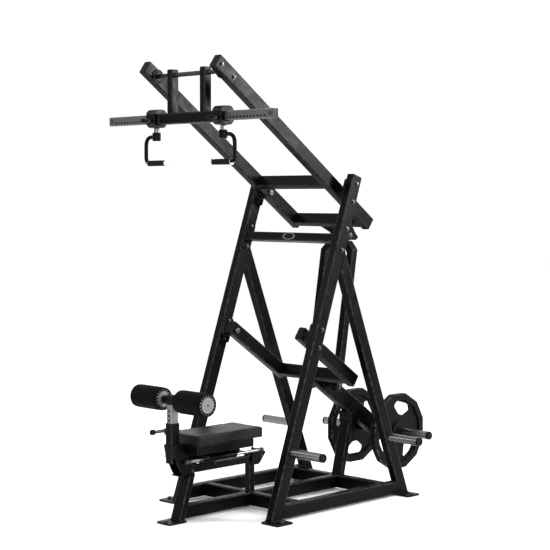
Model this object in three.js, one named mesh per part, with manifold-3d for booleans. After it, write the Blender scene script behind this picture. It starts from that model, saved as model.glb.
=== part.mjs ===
// Plate-loaded lat pulldown machine. Millimetres, +Z up, +Y towards the weight plates, +X to the user's left.
import * as THREE from 'three';
import Module from 'manifold-3d';
import { mergeVertices } from 'three/addons/utils/BufferGeometryUtils.js';

const wasm = await Module();
wasm.setup();

// Driving dimensions
const Y_SHIFT = -137.5;          // puts the middle of the whole machine at Y = 0
const GAP = 0.3;                 // left between welded or touching pieces
const RUN = 0.5;                 // radial clearance of a pin in its hole
const WALL = 3;                  // wall of the steel tubes
const TUBE_W = 50;
const TUBE_H = 75;
const FRAME_IN = 351;            // inner faces of the side frames
const FRAME_OUT = FRAME_IN + TUBE_W;
const RAIL_Z0 = 12;
const RAIL_Z1 = RAIL_Z0 + TUBE_H;
const FOOT_T = 10;

// Side frames: sloping faces given as y = offset + slope * z
const UPRIGHT = { front: -381.4, back: -302, slope: 0.3484, topY: 267.9, topZ: 1863.6 };
const REAR_LEG = { front: 683.8, back: 758.9, slope: -0.3886 };
const UPRIGHT_DIR = [0.3290, 0.9443];
const UPRIGHT_REARWARD = [0.9443, -0.3290];

// Levers: a start point on the centre line, the direction along it and the direction out of its top
const UPPER = { at: [-665.7, 2436.3], along: [0.8110, -0.5850], up: [0.5850, 0.8110], length: 1470 };
const LOWER = { at: [-34.4, 987.7], along: [0.8211, -0.5707], up: [0.5707, 0.8211], length: 534.6 };
const UPPER_ARM_IN = 255;
const LOWER_ARM_IN = 253;
const UPPER_PIVOT = [272, 1759];
const LOWER_PIVOT = [-3, 965];
const SHAFT_R = 15;
const CROSS_T = 38;              // thickness of the cross tubes along the arm
const UPPER_CROSS_S = [1039, 1412];
const LOWER_CROSS_S = 472.5;

// Lever beam, sleeves and weight plates
const BEAM_H = 100;
const BEAM_END_S = 1220;
const SLEEVE = [920, 324.6];
const SLEEVE_R = 24.5;
const SLEEVE_END = 424;
const PLATE_R = 225;
const PLATE_T = 40;
const PLATE_X = 152;             // inner face of each plate
const PLATE_TURN = { right: -15, left: 60 };  // degrees each plate has rolled round on the sleeve

// Link frame between the two levers
const LINK_TOP = [625, 1507];
const LINK_BOTTOM = [450, 635];
const LINK_IN = 82;
const LINK_T = 46;
const LINK_SLOPE = 0.1645;

// Hanger, sliding carriages and handles
const HANGER = [-596, 2386];
const HANGER_SHAFT_R = 12.5;
const BAR_Z = 2154;
const BAR_HALF = 650;
const CARRIAGE_X = 265;
const CARRIAGE_Z = [2108, 2207];
const HANDLE_Z = 1917;

// Thigh roller post
const POST_Y = -720;
const ROLLER_Z = 656;
const ROLLER_R = 62.5;
const SLEEVE_TOP = 535;
const THIGH_PIN_Z = 500;

// Seat and its lifting linkage
const SEAT_PIVOT_FRONT = [-440, 287];
const SEAT_PIVOT_REAR = [-92, 287];
const SEAT_LINK = [-160.8, 37];
const CRANK = [-14.5, 35.1];
const GAS_X = 50;
const GAS_Z = 323.6;
const GAS_BODY = [-560, -302];
const PIN_R = 5;

// ---- solids ----

function solid(geometry) {
  const plain = geometry.index ? geometry.toNonIndexed() : geometry;
  plain.deleteAttribute('normal');
  plain.deleteAttribute('uv');
  const merged = mergeVertices(plain, 1e-4);
  return new wasm.Manifold(new wasm.Mesh({
    numProp: 3,
    vertProperties: new Float32Array(merged.attributes.position.array),
    triVerts: new Uint32Array(merged.index.array),
  }));
}

function add(first, ...rest) {
  return rest.reduce((sum, piece) => sum.add(piece), first);
}

function cut(first, ...rest) {
  return rest.reduce((left, piece) => left.subtract(piece), first);
}

function block(x, y, z) {
  const shape = new THREE.BoxGeometry(x[1] - x[0], y[1] - y[0], z[1] - z[0]);
  shape.translate((x[0] + x[1]) / 2, (y[0] + y[1]) / 2, (z[0] + z[1]) / 2);
  return solid(shape);
}

// A side outline of [y, z] points, run from x[0] to x[1]
function slab(outline, x) {
  const points = outline.map(([y, z]) => new THREE.Vector2(y, z));
  const shape = new THREE.ExtrudeGeometry(new THREE.Shape(points), { depth: x[1] - x[0], bevelEnabled: false });
  shape.applyMatrix4(new THREE.Matrix4().set(0, 0, 1, x[0], 1, 0, 0, 0, 0, 1, 0, 0, 0, 0, 0, 1));
  return solid(shape);
}

// A round bar between two [x, y, z] points
function rod(from, to, radius, sides = 14) {
  const a = new THREE.Vector3(...from);
  const b = new THREE.Vector3(...to);
  const shape = new THREE.CylinderGeometry(radius, radius, a.distanceTo(b), sides);
  const turn = new THREE.Quaternion().setFromUnitVectors(
    new THREE.Vector3(0, 1, 0), b.clone().sub(a).normalize());
  shape.applyQuaternion(turn);
  shape.translate((a.x + b.x) / 2, (a.y + b.y) / 2, (a.z + b.z) / 2);
  return solid(shape);
}

function rodX([y, z], radius, x, sides = 14) {
  return rod([x[0], y, z], [x[1], y, z], radius, sides);
}

// [y, z] of a place on a lever: s along it, t out of its top
function onLever(lever, s, t) {
  return [
    lever.at[0] + s * lever.along[0] + t * lever.up[0],
    lever.at[1] + s * lever.along[1] + t * lever.up[1],
  ];
}

function leverSlab(lever, s, t, x) {
  const corners = [[s[0], t[0]], [s[1], t[0]], [s[1], t[1]], [s[0], t[1]]];
  return slab(corners.map(([along, up]) => onLever(lever, along, up)), x);
}

function bothSides(x, side) {
  return side > 0 ? x : [-x[1], -x[0]];
}

// ---- scene ----

const group = new THREE.Group();
group.name = 'lat_pulldown_machine';
const BLACK = { color: 0x1c1c1e, roughness: 0.45, metalness: 0.5 };
const CHROME = { color: 0xd8d9dc, roughness: 0.12, metalness: 1 };
const PALE = { color: 0xb9bcc0, roughness: 0.35, metalness: 0.7 };
const RUBBER = { color: 0x131313, roughness: 0.8, metalness: 0 };
const VINYL = { color: 0x202022, roughness: 0.5, metalness: 0 };
const IRON = { color: 0x18181a, roughness: 0.55, metalness: 0.4 };

function place(name, shape, look) {
  const mesh = shape.getMesh();
  const positions = new Float32Array(mesh.numVert * 3);
  for (let i = 0; i < mesh.numVert; i += 1) {
    for (let axis = 0; axis < 3; axis += 1) {
      positions[i * 3 + axis] = mesh.vertProperties[i * mesh.numProp + axis];
    }
  }
  const geometry = new THREE.BufferGeometry();
  geometry.setAttribute('position', new THREE.BufferAttribute(positions, 3));
  geometry.setIndex(new THREE.BufferAttribute(new Uint32Array(mesh.triVerts), 1));
  geometry.translate(0, Y_SHIFT, 0);
  geometry.computeVertexNormals();
  const part = new THREE.Mesh(geometry, new THREE.MeshStandardMaterial(look));
  part.name = name;
  group.add(part);
}

const SIDES = [['right', 1], ['left', -1]];

// ---- side frames ----

function faceAt(frame, edge, z) {
  return frame[edge] + frame.slope * z;
}

function upright(side) {
  const top = [UPRIGHT.topY, UPRIGHT.topZ];
  const backTop = [top[0] + TUBE_H * UPRIGHT_REARWARD[0], top[1] + TUBE_H * UPRIGHT_REARWARD[1]];
  const outline = [
    [faceAt(UPRIGHT, 'front', FOOT_T), FOOT_T], [faceAt(UPRIGHT, 'back', FOOT_T), FOOT_T], backTop, top,
  ];
  const inside = [
    [faceAt(UPRIGHT, 'front', FOOT_T) + WALL, FOOT_T + 0.1], [faceAt(UPRIGHT, 'back', FOOT_T) - WALL, FOOT_T + 0.1],
    [backTop[0] - 4.2, backTop[1] - 2.1], [top[0] + 2.2, top[1] - 4],
  ];
  const tube = cut(
    slab(outline, bothSides([FRAME_IN, FRAME_OUT], side)),
    slab(inside, bothSides([FRAME_IN + WALL, FRAME_OUT - WALL], side)));
  const foot = block(bothSides([FRAME_IN, 480], side), [-410, -290], [0, FOOT_T]);
  const vent = rodX([-200, 320], 8, bothSides([FRAME_IN - 1, FRAME_IN + 5], side), 10);
  return cut(add(tube, foot), vent);
}

function rearLeg(side) {
  const outline = [
    [faceAt(REAR_LEG, 'front', FOOT_T), FOOT_T], [faceAt(REAR_LEG, 'back', FOOT_T), FOOT_T],
    [199.5 + 0.5, 1439.5], [164 + 0.5, 1337.6],
  ];
  const inside = [
    [faceAt(REAR_LEG, 'front', FOOT_T) + WALL, FOOT_T + 0.1], [faceAt(REAR_LEG, 'back', FOOT_T) - WALL, FOOT_T + 0.1],
    [faceAt(REAR_LEG, 'back', 1500) - WALL, 1500], [faceAt(REAR_LEG, 'front', 1500) + WALL, 1500],
  ];
  const tube = cut(
    slab(outline, bothSides([FRAME_IN, FRAME_OUT], side)),
    slab(inside, bothSides([FRAME_IN + WALL, FRAME_OUT - WALL], side)));
  const foot = block(bothSides([FRAME_IN, 475], side), [665, 770], [0, FOOT_T]);
  return add(tube, foot);
}

function sideRail(side) {
  const edge = (z) => [[faceAt(UPRIGHT, 'back', z) + GAP, z], [faceAt(REAR_LEG, 'front', z) - GAP, z]];
  const [bottom, top] = [edge(RAIL_Z0), edge(RAIL_Z1)];
  const outline = [bottom[0], bottom[1], top[1], top[0]];
  const inside = [
    [-400, RAIL_Z0 + WALL], [800, RAIL_Z0 + WALL], [800, RAIL_Z1 - WALL], [-400, RAIL_Z1 - WALL],
  ];
  return cut(
    slab(outline, bothSides([FRAME_IN, FRAME_OUT], side)),
    slab(inside, bothSides([FRAME_IN + WALL, FRAME_OUT - WALL], side)));
}

// A square tube lying along X, open at both ends
function crossTube(x, y, z) {
  return cut(
    block(x, y, z),
    block([x[0] - 1, x[1] + 1], [y[0] + WALL, y[1] - WALL], [z[0] + WALL, z[1] - WALL]));
}

const STORAGE_PEGS = { front: [-216, 360, 630], rear: [585, 352, 625] };

function storagePeg(which, side) {
  const [y, z, end] = STORAGE_PEGS[which];
  const start = FRAME_OUT + GAP;
  return cut(
    rodX([y, z], 24, bothSides([start, end], side), 20),
    rodX([y, z], 20, bothSides([start - 1, end - 8], side), 10));
}

for (const [name, side] of SIDES) {
  place(`upright_${name}`, upright(side), BLACK);
  place(`rear_leg_${name}`, rearLeg(side), BLACK);
  place(`side_rail_${name}`, sideRail(side), BLACK);
  const x = bothSides([TUBE_W / 2 + GAP, FRAME_IN - GAP], side);
  place(`front_cross_rail_${name}`, crossTube(x, [-170, -120], [RAIL_Z0, RAIL_Z1]), BLACK);
  for (const which of ['front', 'rear']) {
    place(`storage_peg_${which}_${name}`, storagePeg(which, side), CHROME);
  }
}

const inner = [-FRAME_IN + GAP, FRAME_IN - GAP];
place('rear_cross_rail', crossTube(inner, [543, 593], [RAIL_Z0, RAIL_Z1]), BLACK);

// ---- centre of the base ----

const SEAT_LEG = { front: -710, back: -670, slope: 0.324 };

function centreBeam() {
  const outline = [
    [faceAt(SEAT_LEG, 'back', RAIL_Z0) + GAP, RAIL_Z0], [543 - GAP, RAIL_Z0],
    [543 - GAP, RAIL_Z1], [faceAt(SEAT_LEG, 'back', RAIL_Z1) + GAP, RAIL_Z1],
  ];
  return cut(
    slab(outline, [-25, 25]),
    block([-22, 22], [-800, 700], [RAIL_Z0 + WALL, RAIL_Z1 - WALL]));
}

const CROSSBAR = [181, 1502];

// [y, z] of a place beside the top crossbar: rearwards of its middle, and up along the uprights
function byCrossbar(rearward, up) {
  return [
    CROSSBAR[0] + rearward * UPRIGHT_REARWARD[0] + up * UPRIGHT_DIR[0],
    CROSSBAR[1] + rearward * UPRIGHT_REARWARD[1] + up * UPRIGHT_DIR[1],
  ];
}

function crossbarSlab(rearward, up, x) {
  return slab([
    byCrossbar(rearward[0], up[0]), byCrossbar(rearward[1], up[0]),
    byCrossbar(rearward[1], up[1]), byCrossbar(rearward[0], up[1]),
  ], x);
}

function topCrossbar() {
  const flange = (side) => crossbarSlab([-30, 30], [-75, 75], bothSides([342, FRAME_IN - GAP], side));
  const bore = crossbarSlab([-22, 22], [-22, 22], [-FRAME_IN, FRAME_IN]);
  return cut(add(crossbarSlab([-25, 25], [-25, 25], inner), flange(1), flange(-1)), bore);
}

function nameplate() {
  const shape = new THREE.CylinderGeometry(1, 1, 3, 32);
  shape.scale(47.5, 1, 20);
  shape.rotateX(Math.atan2(UPRIGHT_REARWARD[1], UPRIGHT_REARWARD[0]));
  const [y, z] = byCrossbar(-25 - GAP - 1.5, 0);
  shape.translate(5, y, z);
  return solid(shape);
}

// Sloping post that the lever beam comes down on, with a cheek each side of the beam
function restPost() {
  const post = cut(
    slab([[561.8, RAIL_Z1 + GAP], [600, RAIL_Z1 + GAP], [677, 392], [638, 392]], [-37.5, 37.5]),
    slab([[564.8, RAIL_Z1], [597, RAIL_Z1], [673, 388], [641, 388]], [-34.5, 34.5]));
  const seat = block([-50, 50], [640, 706], [388, 396]);
  const cheek = (side) => slab(
    [[645, 388], [704, 388], [704, 430], [680, 455], [645, 455]], bothSides([44, 50], side));
  return add(post, seat, cheek(1), cheek(-1));
}

function beamUnderside(y) {
  const [y0, z0] = onLever(LOWER, 0, -BEAM_H / 2);
  return z0 + (y - y0) * LOWER.along[1] / LOWER.along[0];
}

function restBumper() {
  const top = (y) => [y, beamUnderside(y) - 1];
  return slab([[648, 396 + GAP], [700, 396 + GAP], top(700), top(648)], [-40, 40]);
}

place('centre_beam', centreBeam(), BLACK);
place('top_crossbar', topCrossbar(), BLACK);
place('nameplate', nameplate(), PALE);
place('rest_post', restPost(), BLACK);
place('rest_bumper', restBumper(), RUBBER);

// ---- bearings of the two levers ----

// Flange against the upright, round housing, and the shaft that carries the arm
function leverBearing([y, z], armOut, side) {
  const plate = slab([
    [-38, -72], [38, -72], [38, 72], [-38, 72],
  ].map(([rearward, up]) => [
    y + rearward * UPRIGHT_REARWARD[0] + up * UPRIGHT_DIR[0],
    z + rearward * UPRIGHT_REARWARD[1] + up * UPRIGHT_DIR[1],
  ]), bothSides([FRAME_IN - GAP - 10, FRAME_IN - GAP], side));
  const housing = rodX([y, z], 36, bothSides([armOut + 1, FRAME_IN - GAP - 5], side), 16);
  const shaft = rodX([y, z], SHAFT_R, bothSides([armOut - TUBE_W - 8, FRAME_IN - 5], side), 16);
  return add(plate, housing, shaft);
}

for (const [name, side] of SIDES) {
  place(`upper_bearing_${name}`, leverBearing(UPPER_PIVOT, UPPER_ARM_IN + TUBE_W, side), BLACK);
  place(`lower_bearing_${name}`, leverBearing(LOWER_PIVOT, LOWER_ARM_IN + TUBE_W, side), BLACK);
}

// ---- levers ----

// Hollow rectangular arm with capped ends, bored for its shaft
function leverArm(lever, armIn, pivot, side) {
  const x = [armIn, armIn + TUBE_W];
  const tube = cut(
    leverSlab(lever, [0, lever.length], [-TUBE_H / 2, TUBE_H / 2], bothSides(x, side)),
    leverSlab(lever, [WALL, lever.length - WALL], [-TUBE_H / 2 + WALL, TUBE_H / 2 - WALL],
      bothSides([x[0] + WALL, x[1] - WALL], side)));
  return cut(tube, rodX(pivot, SHAFT_R + RUN, bothSides([x[0] - 1, x[1] + 1], side), 16));
}

function leverCross(lever, s, armIn) {
  const x = [-armIn + GAP, armIn - GAP];
  return cut(
    leverSlab(lever, [s, s + CROSS_T], [-TUBE_H / 2, TUBE_H / 2], x),
    leverSlab(lever, [s + WALL, s + CROSS_T - WALL], [-TUBE_H / 2 + WALL, TUBE_H / 2 - WALL],
      [x[0] - 1, x[1] + 1]));
}

function rearCrossWithLugs() {
  const outline = [
    [487, 1559.5], [561.9, 1525.5], [615, 1480], [672, 1478], [695, 1494], [664, 1527], [650, 1552], [530.5, 1618],
  ];
  const lug = (side) => cut(
    slab(outline, bothSides([44, 56], side)),
    rodX(LINK_TOP, 11 + RUN, bothSides([43, 57], side), 14));
  const tube = leverCross(UPPER, UPPER_CROSS_S[1], UPPER_ARM_IN);
  return add(tube, lug(1), lug(-1));
}

for (const [name, side] of SIDES) {
  place(`upper_arm_${name}`, leverArm(UPPER, UPPER_ARM_IN, UPPER_PIVOT, side), BLACK);
  place(`lower_arm_${name}`, leverArm(LOWER, LOWER_ARM_IN, LOWER_PIVOT, side), BLACK);
}
place('upper_cross_tube_front', leverCross(UPPER, UPPER_CROSS_S[0], UPPER_ARM_IN), BLACK);
place('upper_cross_tube_rear', rearCrossWithLugs(), BLACK);
place('lower_cross_tube', leverCross(LOWER, LOWER_CROSS_S, LOWER_ARM_IN), BLACK);

function leverBeam() {
  const s = [LOWER_CROSS_S + CROSS_T + GAP, BEAM_END_S];
  const tube = cut(
    leverSlab(LOWER, s, [-BEAM_H / 2, BEAM_H / 2], [-25, 25]),
    leverSlab(LOWER, [s[0] - 1, s[1] - WALL], [-BEAM_H / 2 + WALL, BEAM_H / 2 - WALL], [-22, 22]),
    rodX(SLEEVE, SLEEVE_R + RUN, [-26, 26], 20));
  const boss = (side) => rodX(LINK_BOTTOM, 24, bothSides([24, LINK_IN - 0.5], side), 16);
  return add(tube, boss(1), boss(-1));
}

function sleeveBar() {
  const end = [-SLEEVE_END, SLEEVE_END];
  const collar = (side) => rodX(SLEEVE, 36, bothSides([25 + GAP, 37], side), 16);
  const stop = (side) => rodX(SLEEVE, 45, bothSides([PLATE_X - 8 - GAP, PLATE_X - GAP], side), 16);
  return cut(
    add(rodX(SLEEVE, SLEEVE_R, end, 20), collar(1), collar(-1), stop(1), stop(-1)),
    rodX(SLEEVE, SLEEVE_R - 4, [end[0] + 8, end[1] - 8], 10),
    rod([0, SLEEVE[0], SLEEVE[1]], [0, SLEEVE[0], SLEEVE[1] + 30], 4, 8));
}

// Twelve-sided plate: thick rim and hub, thinner web, three hand holes
function polygon(radius, sides, turn = 0) {
  return Array.from({ length: sides }, (_, i) => {
    const angle = (i / sides) * 2 * Math.PI + turn;
    return [SLEEVE[0] + radius * Math.cos(angle), SLEEVE[1] + radius * Math.sin(angle)];
  });
}

function handHole(direction) {
  const corners = [[100, -24], [100, 24], [140, 78], [176, 58], [176, -58], [140, -78]];
  return corners.map(([out, across]) => [
    SLEEVE[0] + out * Math.cos(direction) - across * Math.sin(direction),
    SLEEVE[1] + out * Math.sin(direction) + across * Math.cos(direction),
  ]);
}

function weightPlate(name, side) {
  const x = [PLATE_X, PLATE_X + PLATE_T];
  const turn = Math.PI / 12;
  const recess = (depth) => cut(
    slab(polygon(192, 12, turn), bothSides(depth, side)),
    rodX(SLEEVE, 62, bothSides([depth[0] - 1, depth[1] + 1], side), 14));
  const holes = [90, 210, 330].map((degrees) => slab(
    handHole((degrees + PLATE_TURN[name]) * Math.PI / 180), bothSides([x[0] - 1, x[1] + 1], side)));
  return cut(
    slab(polygon(PLATE_R / Math.cos(turn), 12, turn), bothSides(x, side)),
    recess([x[0] - 1, x[0] + 12]),
    recess([x[1] - 12, x[1] + 1]),
    ...holes,
    rodX(SLEEVE, SLEEVE_R + RUN, bothSides([x[0] - 1, x[1] + 1], side), 20));
}

place('lever_beam', leverBeam(), BLACK);
place('weight_sleeve_bar', sleeveBar(), CHROME);
for (const [name, side] of SIDES) {
  place(`weight_plate_${name}`, weightPlate(name, side), IRON);
}

// ---- link frame ----

function linkFrame() {
  const front = (z) => 430.3 + LINK_SLOPE * (z - 620);
  const depth = LINK_T / Math.cos(Math.atan(LINK_SLOPE));
  const [zBottom, zTop] = [603, 1476];
  const side = [
    [front(zBottom), zBottom], [front(zBottom) + depth, zBottom], [front(zTop) + depth, zTop], [front(zTop), zTop],
  ];
  const reach = LINK_IN + LINK_T;
  const gate = cut(
    slab(side, [-reach, reach]),
    block([-LINK_IN, LINK_IN], [300, 700], [500, zTop - LINK_T]));
  const chamfer = (way) => {
    const corner = new THREE.Shape([
      new THREE.Vector2(way * reach, zTop - 49), new THREE.Vector2(way * (reach - 49), zTop),
      new THREE.Vector2(way * (reach + 20), zTop + 20),
    ]);
    const shape = new THREE.ExtrudeGeometry(corner, { depth: 300, bevelEnabled: false });
    shape.rotateX(Math.PI / 2);
    shape.translate(0, 700, 0);
    return solid(shape);
  };
  const hollow = (way) => slab([
    [front(590) + WALL, 590], [front(590) + depth - WALL, 590],
    [front(1425) + depth - WALL, 1425], [front(1425) + WALL, 1425],
  ], bothSides([LINK_IN + WALL, reach - WALL], way));
  const tongue = slab([
    [front(zTop) + 2, zTop - 10], [front(zTop) + depth - 2, zTop - 10],
    [LINK_TOP[0] + 17, LINK_TOP[1] - 17], [LINK_TOP[0] - 10, LINK_TOP[1] + 20], [LINK_TOP[0] - 24, LINK_TOP[1] + 4],
  ], [-43, 43]);
  const bolt = (way) => rodX(LINK_BOTTOM, 16, bothSides([reach - 1, reach + 10], way), 6);
  return add(
    cut(gate, chamfer(1), chamfer(-1), hollow(1), hollow(-1)),
    tongue, rodX(LINK_TOP, 24, [-43, 43], 16), rodX(LINK_TOP, 11, [-62, 62], 14), bolt(1), bolt(-1));
}

place('link_frame', linkFrame(), BLACK);

// ---- hanger, carriages and handles ----

function hangerFrame() {
  const y = [HANGER[0] - 25, HANGER[0] + 25];
  const post = (side) => block(bothSides([109, 151], side), y, [BAR_Z + 30 - 1, 2416]);
  const tube = block([-215, 215], y, [BAR_Z - 30, BAR_Z + 30]);
  const bore = block([-216, 216], [y[0] + 4.7, y[1] - 4.7], [BAR_Z - 25.3, BAR_Z + 25.3]);
  const core = (side) => block(bothSides([112, 148], side), [y[0] + WALL, y[1] - WALL], [BAR_Z + 20, 2413]);
  return add(
    cut(add(post(1), post(-1), tube), bore, core(1), core(-1)),
    rodX(HANGER, HANGER_SHAFT_R, [-UPPER_ARM_IN + 1, UPPER_ARM_IN - 1], 16));
}

// Pale bar through the hanger's tube, with pin holes for the carriages
function handleBar() {
  const y = [HANGER[0] - 20, HANGER[0] + 20];
  const tube = cut(
    block([-BAR_HALF, BAR_HALF], y, [BAR_Z - 25, BAR_Z + 25]),
    block([-BAR_HALF - 1, BAR_HALF + 1], [y[0] + WALL, y[1] - WALL], [BAR_Z - 22, BAR_Z + 22]));
  const holes = [];
  const bolts = [];
  for (const side of [1, -1]) {
    for (let x = 340; x <= 590; x += 25) {
      holes.push(rod([side * x, y[0] - 1, BAR_Z - 10], [side * x, y[0] + 5, BAR_Z - 10], 6, 6));
    }
    bolts.push(rod([side * 630, y[0] - 7, BAR_Z], [side * 630, y[0] + 1, BAR_Z], 9, 8));
  }
  return add(cut(tube, ...holes), ...bolts);
}

function hangerBearing(side) {
  const x = bothSides([UPPER_ARM_IN - 15, UPPER_ARM_IN - GAP], side);
  const flange = rodX(HANGER, 38, bothSides([UPPER_ARM_IN - 7, UPPER_ARM_IN - GAP], side), 16);
  return cut(add(rodX(HANGER, 26, x, 14), flange), rodX(HANGER, HANGER_SHAFT_R + RUN, [x[0] - 1, x[1] + 1], 16));
}

const PIN_Z = BAR_Z - 10;
const CARRIAGE_FRONT = HANGER[0] - 46;

function carriage(side) {
  const [z0, z1] = CARRIAGE_Z;
  const y = [CARRIAGE_FRONT, HANGER[0] + 46];
  const outline = [
    [y[0] + 18, z0], [y[1] - 18, z0], [y[1], z0 + 18], [y[1], z1 - 18],
    [y[1] - 18, z1], [y[0] + 18, z1], [y[0], z1 - 18], [y[0], z0 + 18],
  ];
  const x = bothSides([CARRIAGE_X - 35, CARRIAGE_X + 35], side);
  const middle = side * CARRIAGE_X;
  return cut(
    add(
      slab(outline, x),
      rod([middle, HANGER[0], z0 - 25], [middle, HANGER[0], z0 + 1], 15, 14),
      rod([middle, HANGER[0], z0 - 63], [middle, HANGER[0], z0 - 20], 8, 12)),
    block([x[0] - 1, x[1] + 1], [HANGER[0] - 20.5, HANGER[0] + 20.5], [BAR_Z - 25.5, BAR_Z + 25.5]),
    rod([middle, y[0] - 1, PIN_Z], [middle, HANGER[0], PIN_Z], PIN_R + RUN, 10));
}

function carriagePin(side) {
  const x = side * CARRIAGE_X;
  return add(
    rod([x, CARRIAGE_FRONT - 30, PIN_Z], [x, HANGER[0] - 21.5, PIN_Z], PIN_R, 10),
    rod([x, CARRIAGE_FRONT - 40, PIN_Z], [x, CARRIAGE_FRONT - GAP, PIN_Z], 9, 12),
    rod([x, CARRIAGE_FRONT - 60, PIN_Z], [x, CARRIAGE_FRONT - 39, PIN_Z], 12, 12));
}

// Bent handle: hub under the carriage, tube out and down, grip pointing back in
function swivelHandle(side) {
  const middle = side * CARRIAGE_X;
  const at = (x, z) => new THREE.Vector3(side * x, HANGER[0], z);
  const path = new THREE.CurvePath();
  const bend = (a, corner, b) => path.add(new THREE.QuadraticBezierCurve3(at(...a), at(...corner), at(...b)));
  path.add(new THREE.LineCurve3(at(270, 2060), at(303, 2060)));
  bend([303, 2060], [353, 2060], [353, 2010]);
  path.add(new THREE.LineCurve3(at(353, 2010), at(353, HANDLE_Z + 34)));
  bend([353, HANDLE_Z + 34], [353, HANDLE_Z], [320, HANDLE_Z]);
  const circle = new THREE.Shape();
  circle.absarc(0, 0, 10.8, 0, 2 * Math.PI);
  const tube = new THREE.ExtrudeGeometry(circle, { steps: 15, curveSegments: 5, extrudePath: path });
  const hub = rod([middle, HANGER[0], 2037], [middle, HANGER[0], 2082.5], 23, 16);
  const grip = rodX([HANGER[0], HANDLE_Z], 15.5, bothSides([192, 330], side), 14);
  const end = rodX([HANGER[0], HANDLE_Z], 17.5, bothSides([185, 193], side), 14);
  return cut(
    add(hub, solid(tube), grip, end),
    rod([middle, HANGER[0], CARRIAGE_Z[0] - 65], [middle, HANGER[0], 2090], 8 + RUN, 12));
}

place('hanger_frame', hangerFrame(), BLACK);
place('handle_bar', handleBar(), PALE);
for (const [name, side] of SIDES) {
  place(`hanger_bearing_${name}`, hangerBearing(side), BLACK);
  place(`carriage_${name}`, carriage(side), BLACK);
  place(`carriage_pin_${name}`, carriagePin(side), BLACK);
  place(`swivel_handle_${name}`, swivelHandle(side), BLACK);
}

// ---- seat stand ----

// Sloping leg on its foot, with two cheek plates welded on top that hold the thigh post's sleeve
function seatFrontLeg() {
  const [z0, z1] = [FOOT_T, 247];
  const edge = (name, z) => [faceAt(SEAT_LEG, name, z), z];
  const tube = cut(
    slab([edge('front', z0), edge('back', z0), edge('back', z1), edge('front', z1)], [-37.5, 37.5]),
    slab([
      [faceAt(SEAT_LEG, 'front', z0) + WALL, z0 + 0.1], [faceAt(SEAT_LEG, 'back', z0) - WALL, z0 + 0.1],
      [faceAt(SEAT_LEG, 'back', 260) - WALL, 260], [faceAt(SEAT_LEG, 'front', 260) + WALL, 260],
    ], [-34.5, 34.5]));
  const foot = block([-55, 55], [-790, -665], [0, FOOT_T]);
  const vent = rod([0, -610, 255], [0, -610, 240], 6, 10);
  const outline = [
    [-751, 420], [-738, 355], [-697, 272], [-680, 246], [-600, 246], [-600, 276], [-690, 420],
  ];
  const cheek = (side) => add(
    slab(outline, bothSides([31.5, 37.5], side)),
    block(bothSides([25 + GAP, 32], side), [-745, -695], [350, 415]));
  const floor = block([-37.5, 37.5], [-697, -592], [246, 252]);
  return cut(add(tube, foot, floor, cheek(1), cheek(-1)), vent);
}

function seatRail() {
  const [z0, z1] = [252 + GAP, 292];
  const rail = cut(
    block([-20, 20], [-630, -130], [z0, z1]),
    block([-17, 17], [-631, -129], [z0 + WALL, z1 - WALL]));
  const [y, z] = SEAT_PIVOT_FRONT;
  const boss = rodX([y, z], 12, [-20, 20], 16);
  return cut(add(rail, boss), rodX([y, z], PIN_R + RUN, [-21, 21], 10));
}

function seatRearPost() {
  const post = cut(
    block([-20, 20], [-170, -130], [RAIL_Z1 + GAP, 252]),
    block([-17, 17], [-167, -133], [RAIL_Z1, 253]));
  const outline = [[-161, 311], [-63, 311], [-55, 301], [-106, 240], [-161, 240]];
  const plate = (side) => cut(
    add(
      slab(outline, bothSides([26.2, 32.2], side)),
      block(bothSides([20 + GAP, 27], side), [-161, -135], [252, 268]),
      block(bothSides([19, 27], side), [-161, -135], [240, 251])),
    rodX(SEAT_PIVOT_REAR, PIN_R + RUN, bothSides([26, 33], side), 10));
  return add(post, plate(1), plate(-1));
}

place('seat_front_leg', seatFrontLeg(), BLACK);
place('seat_rail', seatRail(), BLACK);
place('seat_rear_post', seatRearPost(), BLACK);

// ---- seat linkage ----

const LINK_X = [20.8, 25.8];
const RELEASE_X = 80;            // hinge of the release lever

function along([y, z], [dy, dz], width) {
  const length = Math.hypot(dy, dz);
  const across = [-dz / length * width, dy / length * width];
  return [
    [y + across[0], z + across[1]], [y + dy + across[0], z + dz + across[1]],
    [y + dy - across[0], z + dz - across[1]], [y - across[0], z - across[1]],
  ].reverse();
}

function linkPlate(pivot, side) {
  const x = bothSides(LINK_X, side);
  const tip = [pivot[0] + SEAT_LINK[0], pivot[1] + SEAT_LINK[1]];
  return cut(
    add(slab(along(pivot, SEAT_LINK, 10), x), rodX(pivot, 10, x, 10), rodX(tip, 10, x, 10)),
    rodX(tip, PIN_R + RUN, [x[0] - 1, x[1] + 1], 10));
}

function seatFrontLink() {
  return add(linkPlate(SEAT_PIVOT_FRONT, 1), linkPlate(SEAT_PIVOT_FRONT, -1),
    rodX(SEAT_PIVOT_FRONT, PIN_R, [-29, 29], 10));
}

function seatRearLink() {
  const clevis = [SEAT_PIVOT_REAR[0] + CRANK[0], SEAT_PIVOT_REAR[1] + CRANK[1]];
  const crank = (side) => add(
    slab(along(SEAT_PIVOT_REAR, CRANK, 9), bothSides(LINK_X, side)),
    rodX(clevis, 9, bothSides(LINK_X, side), 10));
  return add(linkPlate(SEAT_PIVOT_REAR, 1), linkPlate(SEAT_PIVOT_REAR, -1), crank(1), crank(-1),
    rodX(SEAT_PIVOT_REAR, PIN_R, [-36, 36], 10), rodX(clevis, PIN_R, [-25, GAS_X + 12], 10));
}

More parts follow.
